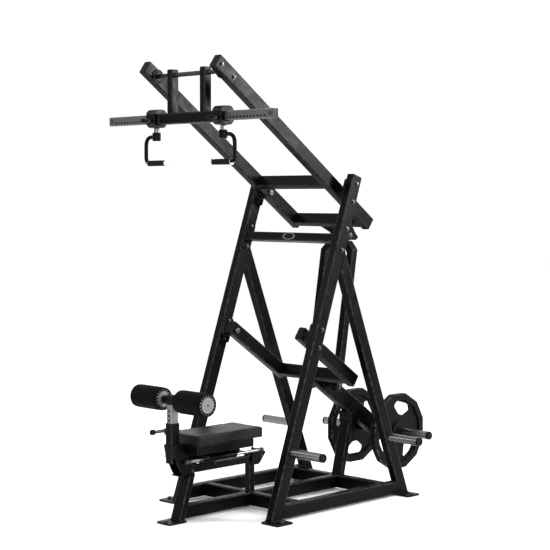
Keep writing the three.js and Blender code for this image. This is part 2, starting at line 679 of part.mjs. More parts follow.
// Tray that carries the cushion, on the top rail of the lifting linkage
function seatUnderframe() {
  const tray = cut(
    block([-120, 120], [-650, -235], [366, 410]), block([-114, 114], [-644, -241], [365, 404]));
  const topRail = cut(
    block([-19, 19], [-614, -243], [312, 405]), block([-16, 16], [-615, -242], [315, 402]));
  const bracket = block([66, RELEASE_X - 1.2], [-600, -580], [352, 405]);
  const pins = [SEAT_PIVOT_FRONT, SEAT_PIVOT_REAR].map(([y, z]) =>
    rodX([y + SEAT_LINK[0], z + SEAT_LINK[1]], PIN_R, [-29, 29], 10));
  return add(tray, topRail, bracket, ...pins);
}

function gasCylinder() {
  const front = POST_Y + 48;
  return cut(
    add(
      rod([GAS_X, GAS_BODY[0], GAS_Z], [GAS_X, GAS_BODY[1], GAS_Z], 17, 16),
      rod([GAS_X, front, GAS_Z], [GAS_X, GAS_BODY[0] + 1, GAS_Z], 9, 12),
      rodX([front, GAS_Z], 12, [GAS_X - 9, GAS_X + 9], 12),
      rodX([front, GAS_Z], 6, [37.5 + GAP, GAS_X + 12], 12)),
    rod([GAS_X, GAS_BODY[0] + 20, GAS_Z], [GAS_X, GAS_BODY[1] + 5, GAS_Z], 8 + RUN, 12));
}

function gasRod() {
  const eye = SEAT_PIVOT_REAR[0] + CRANK[0];
  return cut(
    add(
      rod([GAS_X, GAS_BODY[1] - 80, GAS_Z], [GAS_X, eye - 9, GAS_Z], 8, 12),
      rodX([eye, GAS_Z], 13, [GAS_X - 8, GAS_X + 8], 14)),
    rodX([eye, GAS_Z], 7.8, [GAS_X - 9, GAS_X + 9], 12));
}

function releaseLever() {
  return add(
    rod([RELEASE_X, -590, 356.5], [100, -590, 356.5], 4, 12),
    block([92, 142], [-600, -580], [352.5, 357.5]));
}

place('seat_front_link', seatFrontLink(), BLACK);
place('seat_rear_link', seatRearLink(), BLACK);
place('seat_underframe', seatUnderframe(), BLACK);
place('gas_cylinder', gasCylinder(), BLACK);
place('gas_rod', gasRod(), CHROME);
place('seat_release_lever', releaseLever(), BLACK);
place('seat_cushion', block([-133, 133], [-658, -155], [410 + GAP, 468]), VINYL);

// ---- thigh rollers ----

function thighSleeve() {
  const outer = block([-25, 25], [POST_Y - 30, POST_Y + 30], [320, SLEEVE_TOP]);
  const bore = block([-20.3, 20.3], [POST_Y - 25.3, POST_Y + 25.3], [319, SLEEVE_TOP + 1]);
  const collar = rod([0, POST_Y - 55, THIGH_PIN_Z], [0, POST_Y - 28, THIGH_PIN_Z], 11.5, 14);
  const pinHole = rod([0, POST_Y - 56, THIGH_PIN_Z], [0, POST_Y - 20, THIGH_PIN_Z], 6 + RUN, 12);
  return cut(add(outer, collar), bore, pinHole);
}

function thighPost() {
  const tube = cut(
    block([-20, 20], [POST_Y - 25, POST_Y + 25], [342, 642]),
    block([-17, 17], [POST_Y - 22, POST_Y + 22], [341, 643]),
    rodX([POST_Y, ROLLER_Z], 31 + GAP, [-21, 21], 24));
  const holes = [];
  for (let z = THIGH_PIN_Z - 125; z <= THIGH_PIN_Z + 100; z += 25) {
    holes.push(rod([0, POST_Y - 26, z], [0, POST_Y - 20, z], 6.5, 6));
  }
  return cut(tube, ...holes);
}

function rollerAxle() {
  return add(
    rodX([POST_Y, ROLLER_Z], 31, [-30, 30], 24),
    rodX([POST_Y, ROLLER_Z], 20, [-66, 66], 20),
    rodX([POST_Y, ROLLER_Z], 12, [-272, 272], 14));
}

function roller(side) {
  const x = bothSides([67, 280], side);
  return cut(
    rodX([POST_Y, ROLLER_Z], ROLLER_R, x, 28),
    rodX([POST_Y, ROLLER_Z], 12 + RUN, bothSides([66, 274], side), 14));
}

function thighPullPin() {
  const z = THIGH_PIN_Z;
  return add(
    rod([0, POST_Y - 140, z], [0, POST_Y - 26, z], 6, 12),
    rod([0, POST_Y - 132, z], [0, POST_Y - 56, z], 9, 12),
    rod([0, POST_Y - 150, z], [0, POST_Y - 131, z], 12, 14));
}

place('thigh_sleeve', thighSleeve(), BLACK);
place('thigh_post', thighPost(), PALE);
place('roller_axle', rollerAxle(), BLACK);
place('thigh_pull_pin', thighPullPin(), BLACK);
for (const [name, side] of SIDES) {
  place(`thigh_roller_${name}`, roller(side), RUBBER);
}

export default group;
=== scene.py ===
"""Looks of the lat pulldown machine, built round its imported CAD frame."""
import math

import bmesh
import bpy
from mathutils import Matrix, Vector


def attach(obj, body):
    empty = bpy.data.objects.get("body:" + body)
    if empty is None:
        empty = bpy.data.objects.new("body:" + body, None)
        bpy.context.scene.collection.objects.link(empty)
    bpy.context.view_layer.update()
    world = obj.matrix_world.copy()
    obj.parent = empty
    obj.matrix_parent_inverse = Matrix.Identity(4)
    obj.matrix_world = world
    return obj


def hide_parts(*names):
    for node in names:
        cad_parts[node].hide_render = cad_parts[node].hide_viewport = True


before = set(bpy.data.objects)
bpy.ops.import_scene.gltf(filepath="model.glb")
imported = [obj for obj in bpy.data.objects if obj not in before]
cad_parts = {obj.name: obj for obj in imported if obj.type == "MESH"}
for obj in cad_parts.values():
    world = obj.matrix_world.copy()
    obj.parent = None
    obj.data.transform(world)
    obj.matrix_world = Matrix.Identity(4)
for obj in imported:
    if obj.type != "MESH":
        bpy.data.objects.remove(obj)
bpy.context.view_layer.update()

# Lengths below are millimetres in the machine's design frame; metres() turns them into the scene's frame.
Y_SHIFT = -137.5
SIDES = (("right", 1), ("left", -1))
UPRIGHT_DIR = Vector((0, 0.3290, 0.9443))
UPRIGHT_BACK = Vector((0, 0.9443, -0.3290))
REAR_LEG_DIR = Vector((0, -0.3622, 0.9321))
X_AXIS = Vector((1, 0, 0))
Y_AXIS = Vector((0, 1, 0))
Z_AXIS = Vector((0, 0, 1))


# ---- camera, light and floor ----

def camera():
    data = bpy.data.cameras.new("camera")
    data.lens = 95.82
    data.sensor_width = 36
    data.clip_end = 100
    obj = bpy.data.objects.new("camera", data)
    obj.location = (5.8432, -5.8 + Y_SHIFT / 1000, 1.74)
    obj.rotation_euler = (math.radians(86.9035), 0, math.radians(44.9643))
    bpy.context.scene.collection.objects.link(obj)
    bpy.context.scene.camera = obj


def area_light(name, place, aim, size, watts, spread=180):
    data = bpy.data.lights.new(name, "AREA")
    data.shape = "RECTANGLE"
    data.size, data.size_y = size
    data.energy = watts
    data.spread = math.radians(spread)
    obj = bpy.data.objects.new(name, data)
    obj.location = place
    obj.rotation_euler = (Vector(aim) - Vector(place)).to_track_quat("-Z", "Y").to_euler()
    bpy.context.scene.collection.objects.link(obj)


def studio():
    world = bpy.data.worlds.new("studio")
    world.use_nodes = True
    background = world.node_tree.nodes["Background"]
    background.inputs["Color"].default_value = (1, 1, 1, 1)
    background.inputs["Strength"].default_value = 1.06
    bpy.context.scene.world = world
    bpy.context.scene.view_settings.view_transform = "Standard"
    area_light("front", (5.0, -5.2, 3.4), (0, 0, 1.2), (0.6, 1.6), 200)
    area_light("key", (-3.4, -4.8, 4.4), (0, 0, 1.1), (1.4, 2.4), 60)
    area_light("top", (-0.6, 1.2, 5.2), (0, 0, 0.6), (2.2, 2.2), 90)
    area_light("side", (4.8, 3.6, 3.0), (0, 0, 1.9), (1.2, 2.6), 220, 120)


# ---- materials ----

class Nodes:
    """Small helper for writing node trees in a line or two each."""

    def __init__(self, name):
        self.material = bpy.data.materials.new(name)
        self.material.use_nodes = True
        self.tree = self.material.node_tree
        self.shader = self.tree.nodes["Principled BSDF"]
        self.place = self.tree.nodes.new("ShaderNodeTexCoord").outputs["Object"]

    def node(self, kind, inputs=None, **settings):
        made = self.tree.nodes.new(kind)
        for key, value in settings.items():
            setattr(made, key, value)
        for key, value in (inputs or {}).items():
            socket = made.inputs[key]
            if isinstance(value, bpy.types.NodeSocket):
                self.tree.links.new(value, socket)
            else:
                socket.default_value = value
        return made

    def noise(self, scale, detail=2.0, rough=0.5):
        return self.node("ShaderNodeTexNoise",
                         {"Vector": self.place, "Scale": scale, "Detail": detail, "Roughness": rough}).outputs["Fac"]

    def spread(self, value, low, high, start=0.0, end=1.0):
        return self.node("ShaderNodeMapRange", {
            "Value": value, "From Min": start, "From Max": end, "To Min": low, "To Max": high}).outputs["Result"]

    def math(self, operation, a, b):
        return self.node("ShaderNodeMath", {0: a, 1: b}, operation=operation).outputs[0]

    def mix(self, factor, a, b):
        made = self.node("ShaderNodeMix", data_type="RGBA")
        self.tree.links.new(factor, made.inputs["Factor"])
        for socket, value in ((made.inputs["A"], a), (made.inputs["B"], b)):
            if isinstance(value, bpy.types.NodeSocket):
                self.tree.links.new(value, socket)
            else:
                socket.default_value = (*value, 1)
        return made.outputs["Result"]

    def bump(self, height, strength, distance, under=None):
        inputs = {"Height": height, "Strength": strength, "Distance": distance}
        if under is not None:
            inputs["Normal"] = under
        return self.node("ShaderNodeBump", inputs).outputs["Normal"]

    def edge(self):
        return self.node("ShaderNodeAttribute", attribute_name="edge").outputs["Fac"]

    def set(self, **values):
        for key, value in values.items():
            socket = self.shader.inputs[key.replace("_", " ")]
            if isinstance(value, bpy.types.NodeSocket):
                self.tree.links.new(value, socket)
            elif isinstance(value, tuple):
                socket.default_value = (*value, 1)
            else:
                socket.default_value = value
        return self.material


def grey(value, warm=0.0):
    return (value * (1 + warm), value, value * (1 - warm))


def coated(name, shade, rough, texture, highlight_amount=0.6, highlight_grey=0.05, metal=0.0, shine=0.045):
    """Paint over metal: fine orange-peel texture, uneven sheen, and a painted highlight that makes bevelled and
    chamfered edges a little lighter in noisy patches.
    """
    n = Nodes(name)
    broad = n.noise(5.0, 3.0)
    # Painted highlight: faces with the edge attribute are mixed towards a lighter grey, patchy by noise, standing in
    # for light caught on rounded edges.
    edge_highlight = n.math("MULTIPLY", n.edge(), n.spread(n.noise(38.0, 5.0, 0.65), 0.1, highlight_amount, 0.4, 0.65))
    colour = n.mix(n.spread(broad, 0.0, 1.0, 0.3, 0.7), grey(shade * 0.82), grey(shade * 1.2))
    peel = n.bump(n.noise(950.0, 2.0), texture, 0.0006)
    speck = n.bump(n.noise(210.0, 4.0, 0.6), texture * 0.5, 0.0008, peel)
    return n.set(
        Base_Color=n.mix(edge_highlight, colour, grey(highlight_grey)),
        Roughness=n.spread(n.noise(17.0, 4.0), rough - 0.07, rough + 0.09, 0.3, 0.7),
        Metallic=metal, Specular_IOR_Level=shine, Normal=speck)


def polished(name, shade, rough, lines=0.0):
    """Plated or bare metal with faint smears and, if asked, turned lines."""
    n = Nodes(name)
    smear = n.noise(26.0, 5.0, 0.6)
    normal = n.bump(n.noise(420.0, 3.0), 0.05 + lines, 0.0003)
    return n.set(
        Base_Color=n.mix(n.spread(smear, 0.0, 1.0, 0.35, 0.75), grey(shade), grey(shade * 0.8, 0.01)),
        Roughness=n.spread(smear, rough, rough + 0.16, 0.35, 0.75),
        Metallic=1.0, Normal=normal)


def rubbery(name, shade, rough, cell, depth):
    n = Nodes(name)
    fine = n.bump(n.noise(cell, 4.0, 0.65), depth, 0.0008)
    return n.set(
        Base_Color=n.mix(n.noise(9.0, 3.0), grey(shade * 0.75), grey(shade * 1.35)),
        Roughness=n.spread(n.noise(30.0, 3.0), rough - 0.06, rough + 0.08, 0.3, 0.7),
        Specular_IOR_Level=0.035, Normal=fine)


def vinyl():
    n = Nodes("seat_vinyl_cover")
    stretched = n.node("ShaderNodeMapping", {"Vector": n.place, "Scale": (1, 0.8, 1)}).outputs["Vector"]
    cells = n.node("ShaderNodeTexVoronoi", {"Vector": stretched, "Scale": 620.0}, feature="DISTANCE_TO_EDGE")
    grain = n.bump(n.spread(cells.outputs["Distance"], 0.0, 1.0, 0.0, 0.12), 0.35, 0.0004)
    crease = n.bump(n.noise(60.0, 5.0, 0.6), 0.12, 0.002, grain)
    return n.set(
        Base_Color=n.mix(n.noise(11.0, 3.0), grey(0.0022), grey(0.004)),
        Roughness=n.spread(n.noise(22.0, 4.0), 0.28, 0.42, 0.3, 0.7),
        Specular_IOR_Level=0.14, Normal=crease)


def cast():
    n = Nodes("plate_iron_coat")
    # Painted highlight: faces with the edge attribute are mixed towards light grey, patchy by noise, standing in for
    # light caught on rounded edges.
    edge_highlight = n.math("MULTIPLY", n.edge(), n.spread(n.noise(45.0, 5.0, 0.65), 0.0, 0.55, 0.45, 0.7))
    colour = n.mix(n.noise(7.0, 3.0), grey(0.0018), grey(0.0035))
    pits = n.bump(n.noise(260.0, 5.0, 0.7), 0.4, 0.001)
    return n.set(
        Base_Color=n.mix(edge_highlight, colour, grey(0.13)),
        Roughness=n.spread(n.noise(20.0, 4.0), 0.4, 0.58, 0.3, 0.7),
        Specular_IOR_Level=0.05, Normal=pits)


def floor_paint():
    n = Nodes("studio_floor")
    return n.set(
        Base_Color=n.mix(n.noise(1.3, 3.0), grey(0.93), grey(0.96)),
        Roughness=n.spread(n.noise(6.0, 3.0), 0.55, 0.7),
        Normal=n.bump(n.noise(300.0, 2.0), 0.05, 0.0005))


# In these coated() calls, the two numbers after the texture set the painted edge highlight: its strength, then its
# grey.
COAT = coated("black_powder", 0.0018, 0.3, 0.12, 0.7, 0.04)
BAR_GREY = coated("grey_satin_bar", 0.05, 0.34, 0.14, 0.6, 0.2, 0.3, 0.3)
POST_GREY = coated("pale_satin_post", 0.13, 0.34, 0.14, 0.6, 0.3, 0.3, 0.3)
CAP = coated("black_cap_plastic", 0.005, 0.3, 0.08, 0.2, 0.02)
CHROME = polished("chrome_plate", 0.2, 0.2)
BOLT = polished("black_oxide_bolt", 0.055, 0.3, 0.1)
DARK_STEEL = polished("dark_steel", 0.035, 0.3, 0.1)
FOAM = rubbery("roller_foam_skin", 0.0017, 0.62, 900.0, 0.3)
RUBBER = rubbery("grip_rubber", 0.007, 0.55, 1200.0, 0.25)
VINYL = vinyl()
IRON = cast()


# ---- mesh making ----

def metres(p):
    return Vector((p[0], p[1] + Y_SHIFT, p[2])) / 1000


class Piece:
    """Gathers rounded solids in millimetres, then becomes one object riding on a body."""

    def __init__(self, name, *materials):
        self.name = name
        self.materials = materials
        self.bm = bmesh.new()

    def _take(self, part, mat):
        for face in part.faces:
            face.material_index = mat
        scratch = bpy.data.meshes.new("scratch")
        part.to_mesh(scratch)
        part.free()
        self.bm.from_mesh(scratch)
        bpy.data.meshes.remove(scratch)

    def prism(self, outline, x, along=None, r=0.0, small=1.0, mat=0, axis="x", steps=4, shear=None):
        """A side outline run across. Edges that lie along `along` are rounded by r, the rest by small."""
        part = bmesh.new()
        rows = []
        for across in x:
            if axis == "x":
                row = [part.verts.new((across, a, b)) for a, b in outline]
            elif axis == "y":
                row = [part.verts.new((a, across, b)) for a, b in outline]
            else:
                row = [part.verts.new((a, b, across)) for a, b in outline]
            rows.append(row)
        part.faces.new(rows[0][::-1])
        part.faces.new(rows[1])
        count = len(outline)
        for i in range(count):
            k = (i + 1) % count
            part.faces.new((rows[0][i], rows[0][k], rows[1][k], rows[1][i]))
        bmesh.ops.recalc_face_normals(part, faces=part.faces)
        edge = part.loops.layers.float.new("edge")
        if along is not None and r > 0:
            way = Vector(along).normalized()
            long_edges = [e for e in part.edges
                          if abs((e.verts[1].co - e.verts[0].co).normalized().dot(way)) > 0.985]
            made = bmesh.ops.bevel(part, geom=long_edges, offset=r, segments=steps, profile=0.5,
                                   affect="EDGES", clamp_overlap=True)
            for face in made["faces"]:
                for loop in face.loops:
                    loop[edge] = 1.0
        if small > 0:
            sharp = [e for e in part.edges
                     if len(e.link_faces) == 2 and e.calc_face_angle(0) > math.radians(38)]
            made = bmesh.ops.bevel(part, geom=sharp, offset=small, segments=2, profile=0.5,
                                   affect="EDGES", clamp_overlap=True)
            for face in made["faces"]:
                for loop in face.loops:
                    loop[edge] = 1.0
        if shear:
            for v in part.verts:
                v.co.y += shear(v.co.z)
        self._take(part, mat)

    def box(self, x, y, z, along=None, r=0.0, small=1.0, mat=0):
        self.prism([(y[0], z[0]), (y[1], z[0]), (y[1], z[1]), (y[0], z[1])], x, along, r, small, mat)

    def turned(self, start, way, profile, mat=0, sides=40, scale=(1, 1)):
        """A solid of revolution: profile is (distance along, radius) pairs from the start point."""
        way = Vector(way).normalized()
        side = way.orthogonal().normalized()
        if abs(way.dot(Z_AXIS)) < 0.9:
            side = way.cross(Z_AXIS).normalized()
        up = side.cross(way)
        part = bmesh.new()
        edge = part.loops.layers.float.new("edge")
        rings = []
        for s, radius in profile:
            centre = Vector(start) + way * s
            if radius < 1e-6:
                rings.append([part.verts.new(centre)])
                continue
            ring = []
            for i in range(sides):
                angle = 2 * math.pi * i / sides
                ring.append(part.verts.new(
                    centre + side * math.cos(angle) * radius * scale[0] + up * math.sin(angle) * radius * scale[1]))
            rings.append(ring)
        for (a, b), (pa, pb) in zip(zip(rings, rings[1:]), zip(profile, profile[1:])):
            slope = abs(pa[1] - pb[1]) > 0.2 and abs(pa[0] - pb[0]) > 0.2
            for i in range(sides):
                k = (i + 1) % sides
                if len(a) == 1 and len(b) == 1:
                    break
                if len(a) == 1:
                    face = part.faces.new((a[0], b[i], b[k]))
                elif len(b) == 1:
                    face = part.faces.new((a[i], b[0], a[k]))
                else:
                    face = part.faces.new((a[i], b[i], b[k], a[k]))
                if slope:
                    for loop in face.loops:
                        loop[edge] = 1.0
        for ring, flip in ((rings[0], True), (rings[-1], False)):
            if len(ring) > 1:
                part.faces.new(ring[::-1] if flip else ring)
        bmesh.ops.recalc_face_normals(part, faces=part.faces)
        self._take(part, mat)

    def rod(self, a, b, radius, mat=0, bevel=1.0, sides=36):
        way = Vector(b) - Vector(a)
        length = way.length
        self.turned(a, way, [(0, 0), (0, radius - bevel), (bevel * 0.3, radius - bevel * 0.3), (bevel, radius),
                             (length - bevel, radius), (length - bevel * 0.3, radius - bevel * 0.3),
                             (length, radius - bevel), (length, 0)], mat, sides)

    def bolt(self, at, way, across=17.0, height=8.0, washer=12.5, mat=0):
        """Hexagon head with a chamfered top, on a washer. `at` is on the surface, way points out."""
        way = Vector(way).normalized()
        self.turned(at, way, [(-1, 0), (-1, washer), (1.6, washer), (2.1, washer - 0.7), (2.1, 0)], mat, 24)
        radius = across / math.sqrt(3)
        base = Vector(at) + way * 2
        self.turned(base, way, [(0, 0), (0, radius), (height - 2.4, radius), (height - 0.6, radius * 0.88),
                                (height, radius * 0.7), (height, 0)], mat, 6)

    def sweep(self, points, radius, mat=0, sides=20):
        part = bmesh.new()
        part.loops.layers.float.new("edge")
        rings = []
        normal = None
        for i, p in enumerate(points):
            ahead = points[min(i + 1, len(points) - 1)] - points[max(i - 1, 0)]
            ahead.normalize()
            if normal is None:
                normal = ahead.orthogonal().normalized()
            normal = (normal - ahead * normal.dot(ahead)).normalized()
            other = ahead.cross(normal)
            rings.append([part.verts.new(p + (normal * math.cos(t) + other * math.sin(t)) * radius)
                          for t in (2 * math.pi * k / sides for k in range(sides))])
        for a, b in zip(rings, rings[1:]):
            for i in range(sides):
                k = (i + 1) % sides
                part.faces.new((a[i], a[k], b[k], b[i]))
        part.faces.new(rings[0][::-1])
        part.faces.new(rings[-1])
        bmesh.ops.recalc_face_normals(part, faces=part.faces)
        self._take(part, mat)

    def weld(self, a, b, size=3.2, mat=0):
        """A rippled fillet bead from a to b."""
        a, b = Vector(a), Vector(b)
        length = (b - a).length
        count = max(4, int(length / 2.6))
        way = (b - a).normalized()
        side = way.orthogonal().normalized()
        up = side.cross(way)
        part = bmesh.new()
        part.loops.layers.float.new("edge")
        rings = []
        for i in range(count + 1):
            swell = size * (0.86 + 0.16 * (i % 2)) if 0 < i < count else size * 0.4
            centre = a + way * (length * i / count)
            rings.append([part.verts.new(centre + (side * math.cos(t) + up * math.sin(t)) * swell)
                          for t in (2 * math.pi * k / 8 for k in range(8))])
        for p, q in zip(rings, rings[1:]):
            for i in range(8):
                k = (i + 1) % 8
                part.faces.new((p[i], p[k], q[k], q[i]))
        part.faces.new(rings[0][::-1])
        part.faces.new(rings[-1])
        bmesh.ops.recalc_face_normals(part, faces=part.faces)
        self._take(part, mat)

    def ring_weld(self, centre, way, radius, size=3.0, mat=0):
        sides = max(24, int(radius * 1.6))
        self.turned(centre, way, [(-size * 0.2, radius - 0.5), (size * 0.35, radius + size * 0.8),
                                  (size, radius + size * 0.45), (size * 1.3, radius - 0.5)], mat, sides)

    def object(self):
        mesh = bpy.data.meshes.new(self.name)
        self.bm.to_mesh(mesh)
        self.bm.free()
        mesh.transform(Matrix.Diagonal((0.001, 0.001, 0.001, 1)) @ Matrix.Translation((0, Y_SHIFT, 0)))
        for material in self.materials:
            mesh.materials.append(material)
        obj = bpy.data.objects.new(self.name, mesh)
        bpy.context.scene.collection.objects.link(obj)
        return obj

    def finish(self, body, *nodes, slot="black_powder_coat", angle=38):
        obj = self.object()
        smooth(obj, angle)
        return settle(obj, body, nodes)


def smooth(obj, angle=38):
    mesh = obj.data
    mesh.polygons.foreach_set("use_smooth", [True] * len(mesh.polygons))
    mesh.set_sharp_from_angle(angle=math.radians(angle))
    weigh = obj.modifiers.new("weigh", "WEIGHTED_NORMAL")
    weigh.keep_sharp = True
    apply_modifiers(obj)


def apply_modifiers(obj):
    graph = bpy.context.evaluated_depsgraph_get()
    mesh = bpy.data.meshes.new_from_object(obj.evaluated_get(graph), depsgraph=graph)
    old = obj.data
    obj.modifiers.clear()
    obj.data = mesh
    bpy.data.meshes.remove(old)


def settle(obj, body, nodes):
    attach(obj, body)
    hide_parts(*nodes)
    return obj


def span(x, side):
    """The same stretch of X on the right (side 1) or mirrored to the left (side -1)."""
    return x if side > 0 else (-x[1], -x[0])


# ---- places shared by several pieces ----

def on_slope(offset, slope, z):
    return offset + slope * z


class Lever:
    def __init__(self, at, along, up):
        self.at, self.along, self.up = Vector((0, *at)), Vector((0, *along)), Vector((0, *up))

    def place(self, s, t, x=0.0):
        return self.at + self.along * s + self.up * t + X_AXIS * x

    def outline(self, s, t):
        corners = [self.place(a, b) for a, b in ((s[0], t[0]), (s[1], t[0]), (s[1], t[1]), (s[0], t[1]))]
        return [(c.y, c.z) for c in corners]


UPPER = Lever((-665.7, 2436.3), (0.8110, -0.5850), (0.5850, 0.8110))
LOWER = Lever((-34.4, 987.7), (0.8211, -0.5707), (0.5707, 0.8211))
UPPER_PIVOT = Vector((0, 272, 1759))
LOWER_PIVOT = Vector((0, -3, 965))
HANGER = Vector((0, -596, 2386))
SLEEVE = Vector((0, 920, 324.6))
LINK_TOP = Vector((0, 625, 1507))
LINK_BOTTOM = Vector((0, 450, 635))
BAR_Z = 2154
TUBE_R = 7


# ---- side frames and base ----

def upright(name, side):
    p = Piece(f"upright_{name}_look", COAT, CAP, BOLT)
    front = lambda z: on_slope(-381.4, 0.3484, z)
    back = lambda z: on_slope(-302, 0.3484, z)
    top = Vector((0, 267.9, 1863.6)) - UPRIGHT_DIR * 3
    top_back = top + UPRIGHT_BACK * 75
    x = span((351, 401), side)
    p.prism([(front(10), 10), (back(10), 10), (top_back.y, top_back.z), (top.y, top.z)],
            x, UPRIGHT_DIR, TUBE_R, 0.8)
    cap = [top + UPRIGHT_BACK * 1.5, top + UPRIGHT_BACK * 73.5]
    cap += [c + UPRIGHT_DIR * 3 for c in reversed(cap)]
    p.prism([(c.y, c.z) for c in cap], span((352.5, 399.5), side), UPRIGHT_DIR, 6, 1.2, 1)
    p.box(span((351, 480), side), (-410, -290), (0, 10), Z_AXIS, 10, 1.5)
    p.weld((x[0], front(12), 11), (x[1], front(12), 11))
    p.weld((x[0], back(12), 11), (x[1], back(12), 11))
    p.weld((side * 402, front(12), 11), (side * 402, back(12), 11))
    p.bolt((side * 455, -350, 10), Z_AXIS, 19, 9, 14, 2)
    for y, z in ((213, 1557), (172, 1441), (294, 1806), (262, 1706), (12, 1009), (-12, 912)):
        p.bolt((side * 401, y, z), X_AXIS * side, 17, 8, 12.5, 2)
    p.finish("frame", f"upright_{name}")


def rear_leg(name, side):
    p = Piece(f"rear_leg_{name}_look", COAT, CAP, BOLT)
    front = lambda z: on_slope(683.8, -0.3886, z)
    back = lambda z: on_slope(758.9, -0.3886, z)
    x = span((351, 401), side)
    p.prism([(front(10), 10), (back(10), 10), (200, 1439.5), (164.5, 1337.6)], x, REAR_LEG_DIR, TUBE_R, 0.6)
    p.box(span((351, 475), side), (665, 770), (0, 10), Z_AXIS, 10, 1.5)
    p.weld((x[0], front(12), 11), (x[1], front(12), 11))
    p.weld((x[0], back(12), 11), (x[1], back(12), 11))
    p.weld((side * 402, front(12), 11), (side * 402, back(12), 11))
    p.weld((side * 401, 166, 1338), (side * 401, 199, 1437), 2.4)
    p.bolt((side * 450, 718, 10), Z_AXIS, 19, 9, 14, 2)
    p.finish("frame", f"rear_leg_{name}")


def side_rail(name, side):
    p = Piece(f"side_rail_{name}_look", COAT)
    x = span((351, 401), side)
    p.prism([(-297.5, 12), (679, 12), (650, 87), (-271.4, 87)], x, Y_AXIS, TUBE_R, 0.5)
    for z0, z1, y0, y1 in ((14, 85, -297, -272.3), (14, 85, 678, 650.8)):
        p.weld((side * 401, y0, z0), (side * 401, y1, z1), 2.6)
    p.weld((x[0] + 4, -271.6, 87), (x[1] - 4, -271.6, 87), 2.6)
    p.weld((x[0] + 4, 650, 87), (x[1] - 4, 650, 87), 2.6)
    p.finish("frame", f"side_rail_{name}")


def cross_rail(label, nodes, x, y):
    p = Piece(label, COAT)
    p.box(x, y, (12, 87), X_AXIS, TUBE_R, 0.5)
    for end in x:
        for edge in y:
            p.weld((end, edge, 18), (end, edge, 81), 2.6)
        p.weld((end, y[0] + 5, 87), (end, y[1] - 5, 87), 2.6)
    p.finish("frame", *nodes)


def storage_peg(name, which, y, z, end, side):
    p = Piece(f"storage_peg_{which}_{name}_look", CHROME, CAP, COAT)
    start = Vector((side * 401.3, y, z))
    way = X_AXIS * side
    reach = end - 401.3
    p.turned(start, way, [(0, 0), (0, 24), (reach - 14, 24), (reach - 14, 0)], 0, 56)
    p.turned(start, way, [(reach - 14.2, 0), (reach - 14.2, 24), (reach - 2.5, 24), (reach - 0.7, 23.2), (reach, 21.4),
                          (reach, 16.5), (reach - 1.8, 15.5), (reach - 1.8, 0)], 1, 56)
    p.ring_weld(start, way, 24, 3.4, 2)
    p.finish("frame", f"storage_peg_{which}_{name}", slot="chrome_tube")


def centre_beam():
    p = Piece("centre_beam_look", COAT)
    p.prism([(-665.8, 12), (542.7, 12), (542.7, 87), (-641.5, 87)], (-25, 25), Y_AXIS, TUBE_R, 0.5)
    p.weld((-22, -642, 87), (22, -642, 87), 2.6)
    for side in (1, -1):
        p.weld((side * 25, -665, 15), (side * 25, -643, 84), 2.6)
        p.weld((side * 26, -170, 87), (side * 26, -120, 87), 2.6)
    p.finish("frame", "centre_beam")


def beside_crossbar(back, up):
    c = Vector((0, 181, 1502)) + UPRIGHT_BACK * back + UPRIGHT_DIR * up
    return c.y, c.z


def top_crossbar():
    p = Piece("top_crossbar_look", COAT, BOLT)
    outline = [beside_crossbar(a, b) for a, b in ((-25, -25), (25, -25), (25, 25), (-25, 25))]
    p.prism(outline, (-344, 344), X_AXIS, TUBE_R, 0.5)
    flange = [beside_crossbar(a, b) for a, b in ((-30, -75), (30, -75), (30, 75), (-30, 75))]
    for side in (1, -1):
        p.prism(flange, span((342, 350.7), side), X_AXIS, 9, 1.2)
        for up in (-61, 61):
            y, z = beside_crossbar(0, up)
            p.bolt((side * 342, y, z), X_AXIS * -side, 17, 8, 12.5, 1)
        for a, b in (((-25, -25), (25, -25)), ((25, -25), (25, 25)), ((25, 25), (-25, 25)), ((-25, 25), (-25, -25))):
            p.weld((side * 342, *beside_crossbar(*a)), (side * 342, *beside_crossbar(*b)), 2.8)
    p.finish("frame", "top_crossbar")


def nameplate():
    """Blank oval plate with a raised rim and two rivets."""
    p = Piece("nameplate_look", POST_GREY, CAP, BOLT)
    y, z = beside_crossbar(-25.3, 0)
    start = Vector((5, y, z))
    out = -UPRIGHT_BACK
    p.turned(start, out, [(0, 0), (0, 20), (1.8, 20), (2.8, 19.2), (3, 18.6), (3, 17.4), (2.2, 17), (2.2, 0)],
             0, 72, (2.375, 1))
    p.turned(start + out * 2.0, out, [(0, 0), (0, 16.6), (0.4, 16.4), (0.4, 0)], 1, 72, (2.375, 1))
    for x in (-34, 34):
        p.turned(start + X_AXIS * x + out * 2.2, out, [(0, 2.6), (0.5, 2.4), (0.8, 1.4), (0.8, 0)], 2, 16)
    p.finish("frame", "nameplate", slot="pale_perforated_bar")


def rest_post():
    p = Piece("rest_post_look", COAT)
    p.prism([(561.8, 87.3), (600, 87.3), (677, 392), (638, 392)], (-37.5, 37.5), (0, 0.245, 0.9695), TUBE_R, 0.5)
    p.box((-50, 50), (640, 706), (388, 396), Z_AXIS, 4, 1.2)
    for side in (1, -1):
        p.prism([(645, 389), (704, 389), (704, 430), (680, 455), (645, 455)], span((44, 50), side),
                X_AXIS, 5, 1.2)
        p.weld((side * 38, 563, 88), (side * 38, 598, 88), 2.6)
    p.weld((-34, 562, 88), (34, 562, 88), 2.6)
    p.weld((-36, 640, 388), (36, 640, 388), 2.6)
    p.finish("frame", "rest_post")


def rest_bumper():
    p = Piece("rest_bumper_look", RUBBER)
    under = lambda y: 451.1 - 0.695 * (y - 650) - 1
    p.prism([(648, 396.3), (700, 396.3), (700, under(700)), (648, under(648))], (-40, 40), X_AXIS, 4, 2.5)
    p.finish("frame", "rest_bumper", slot="bumper_rubber")


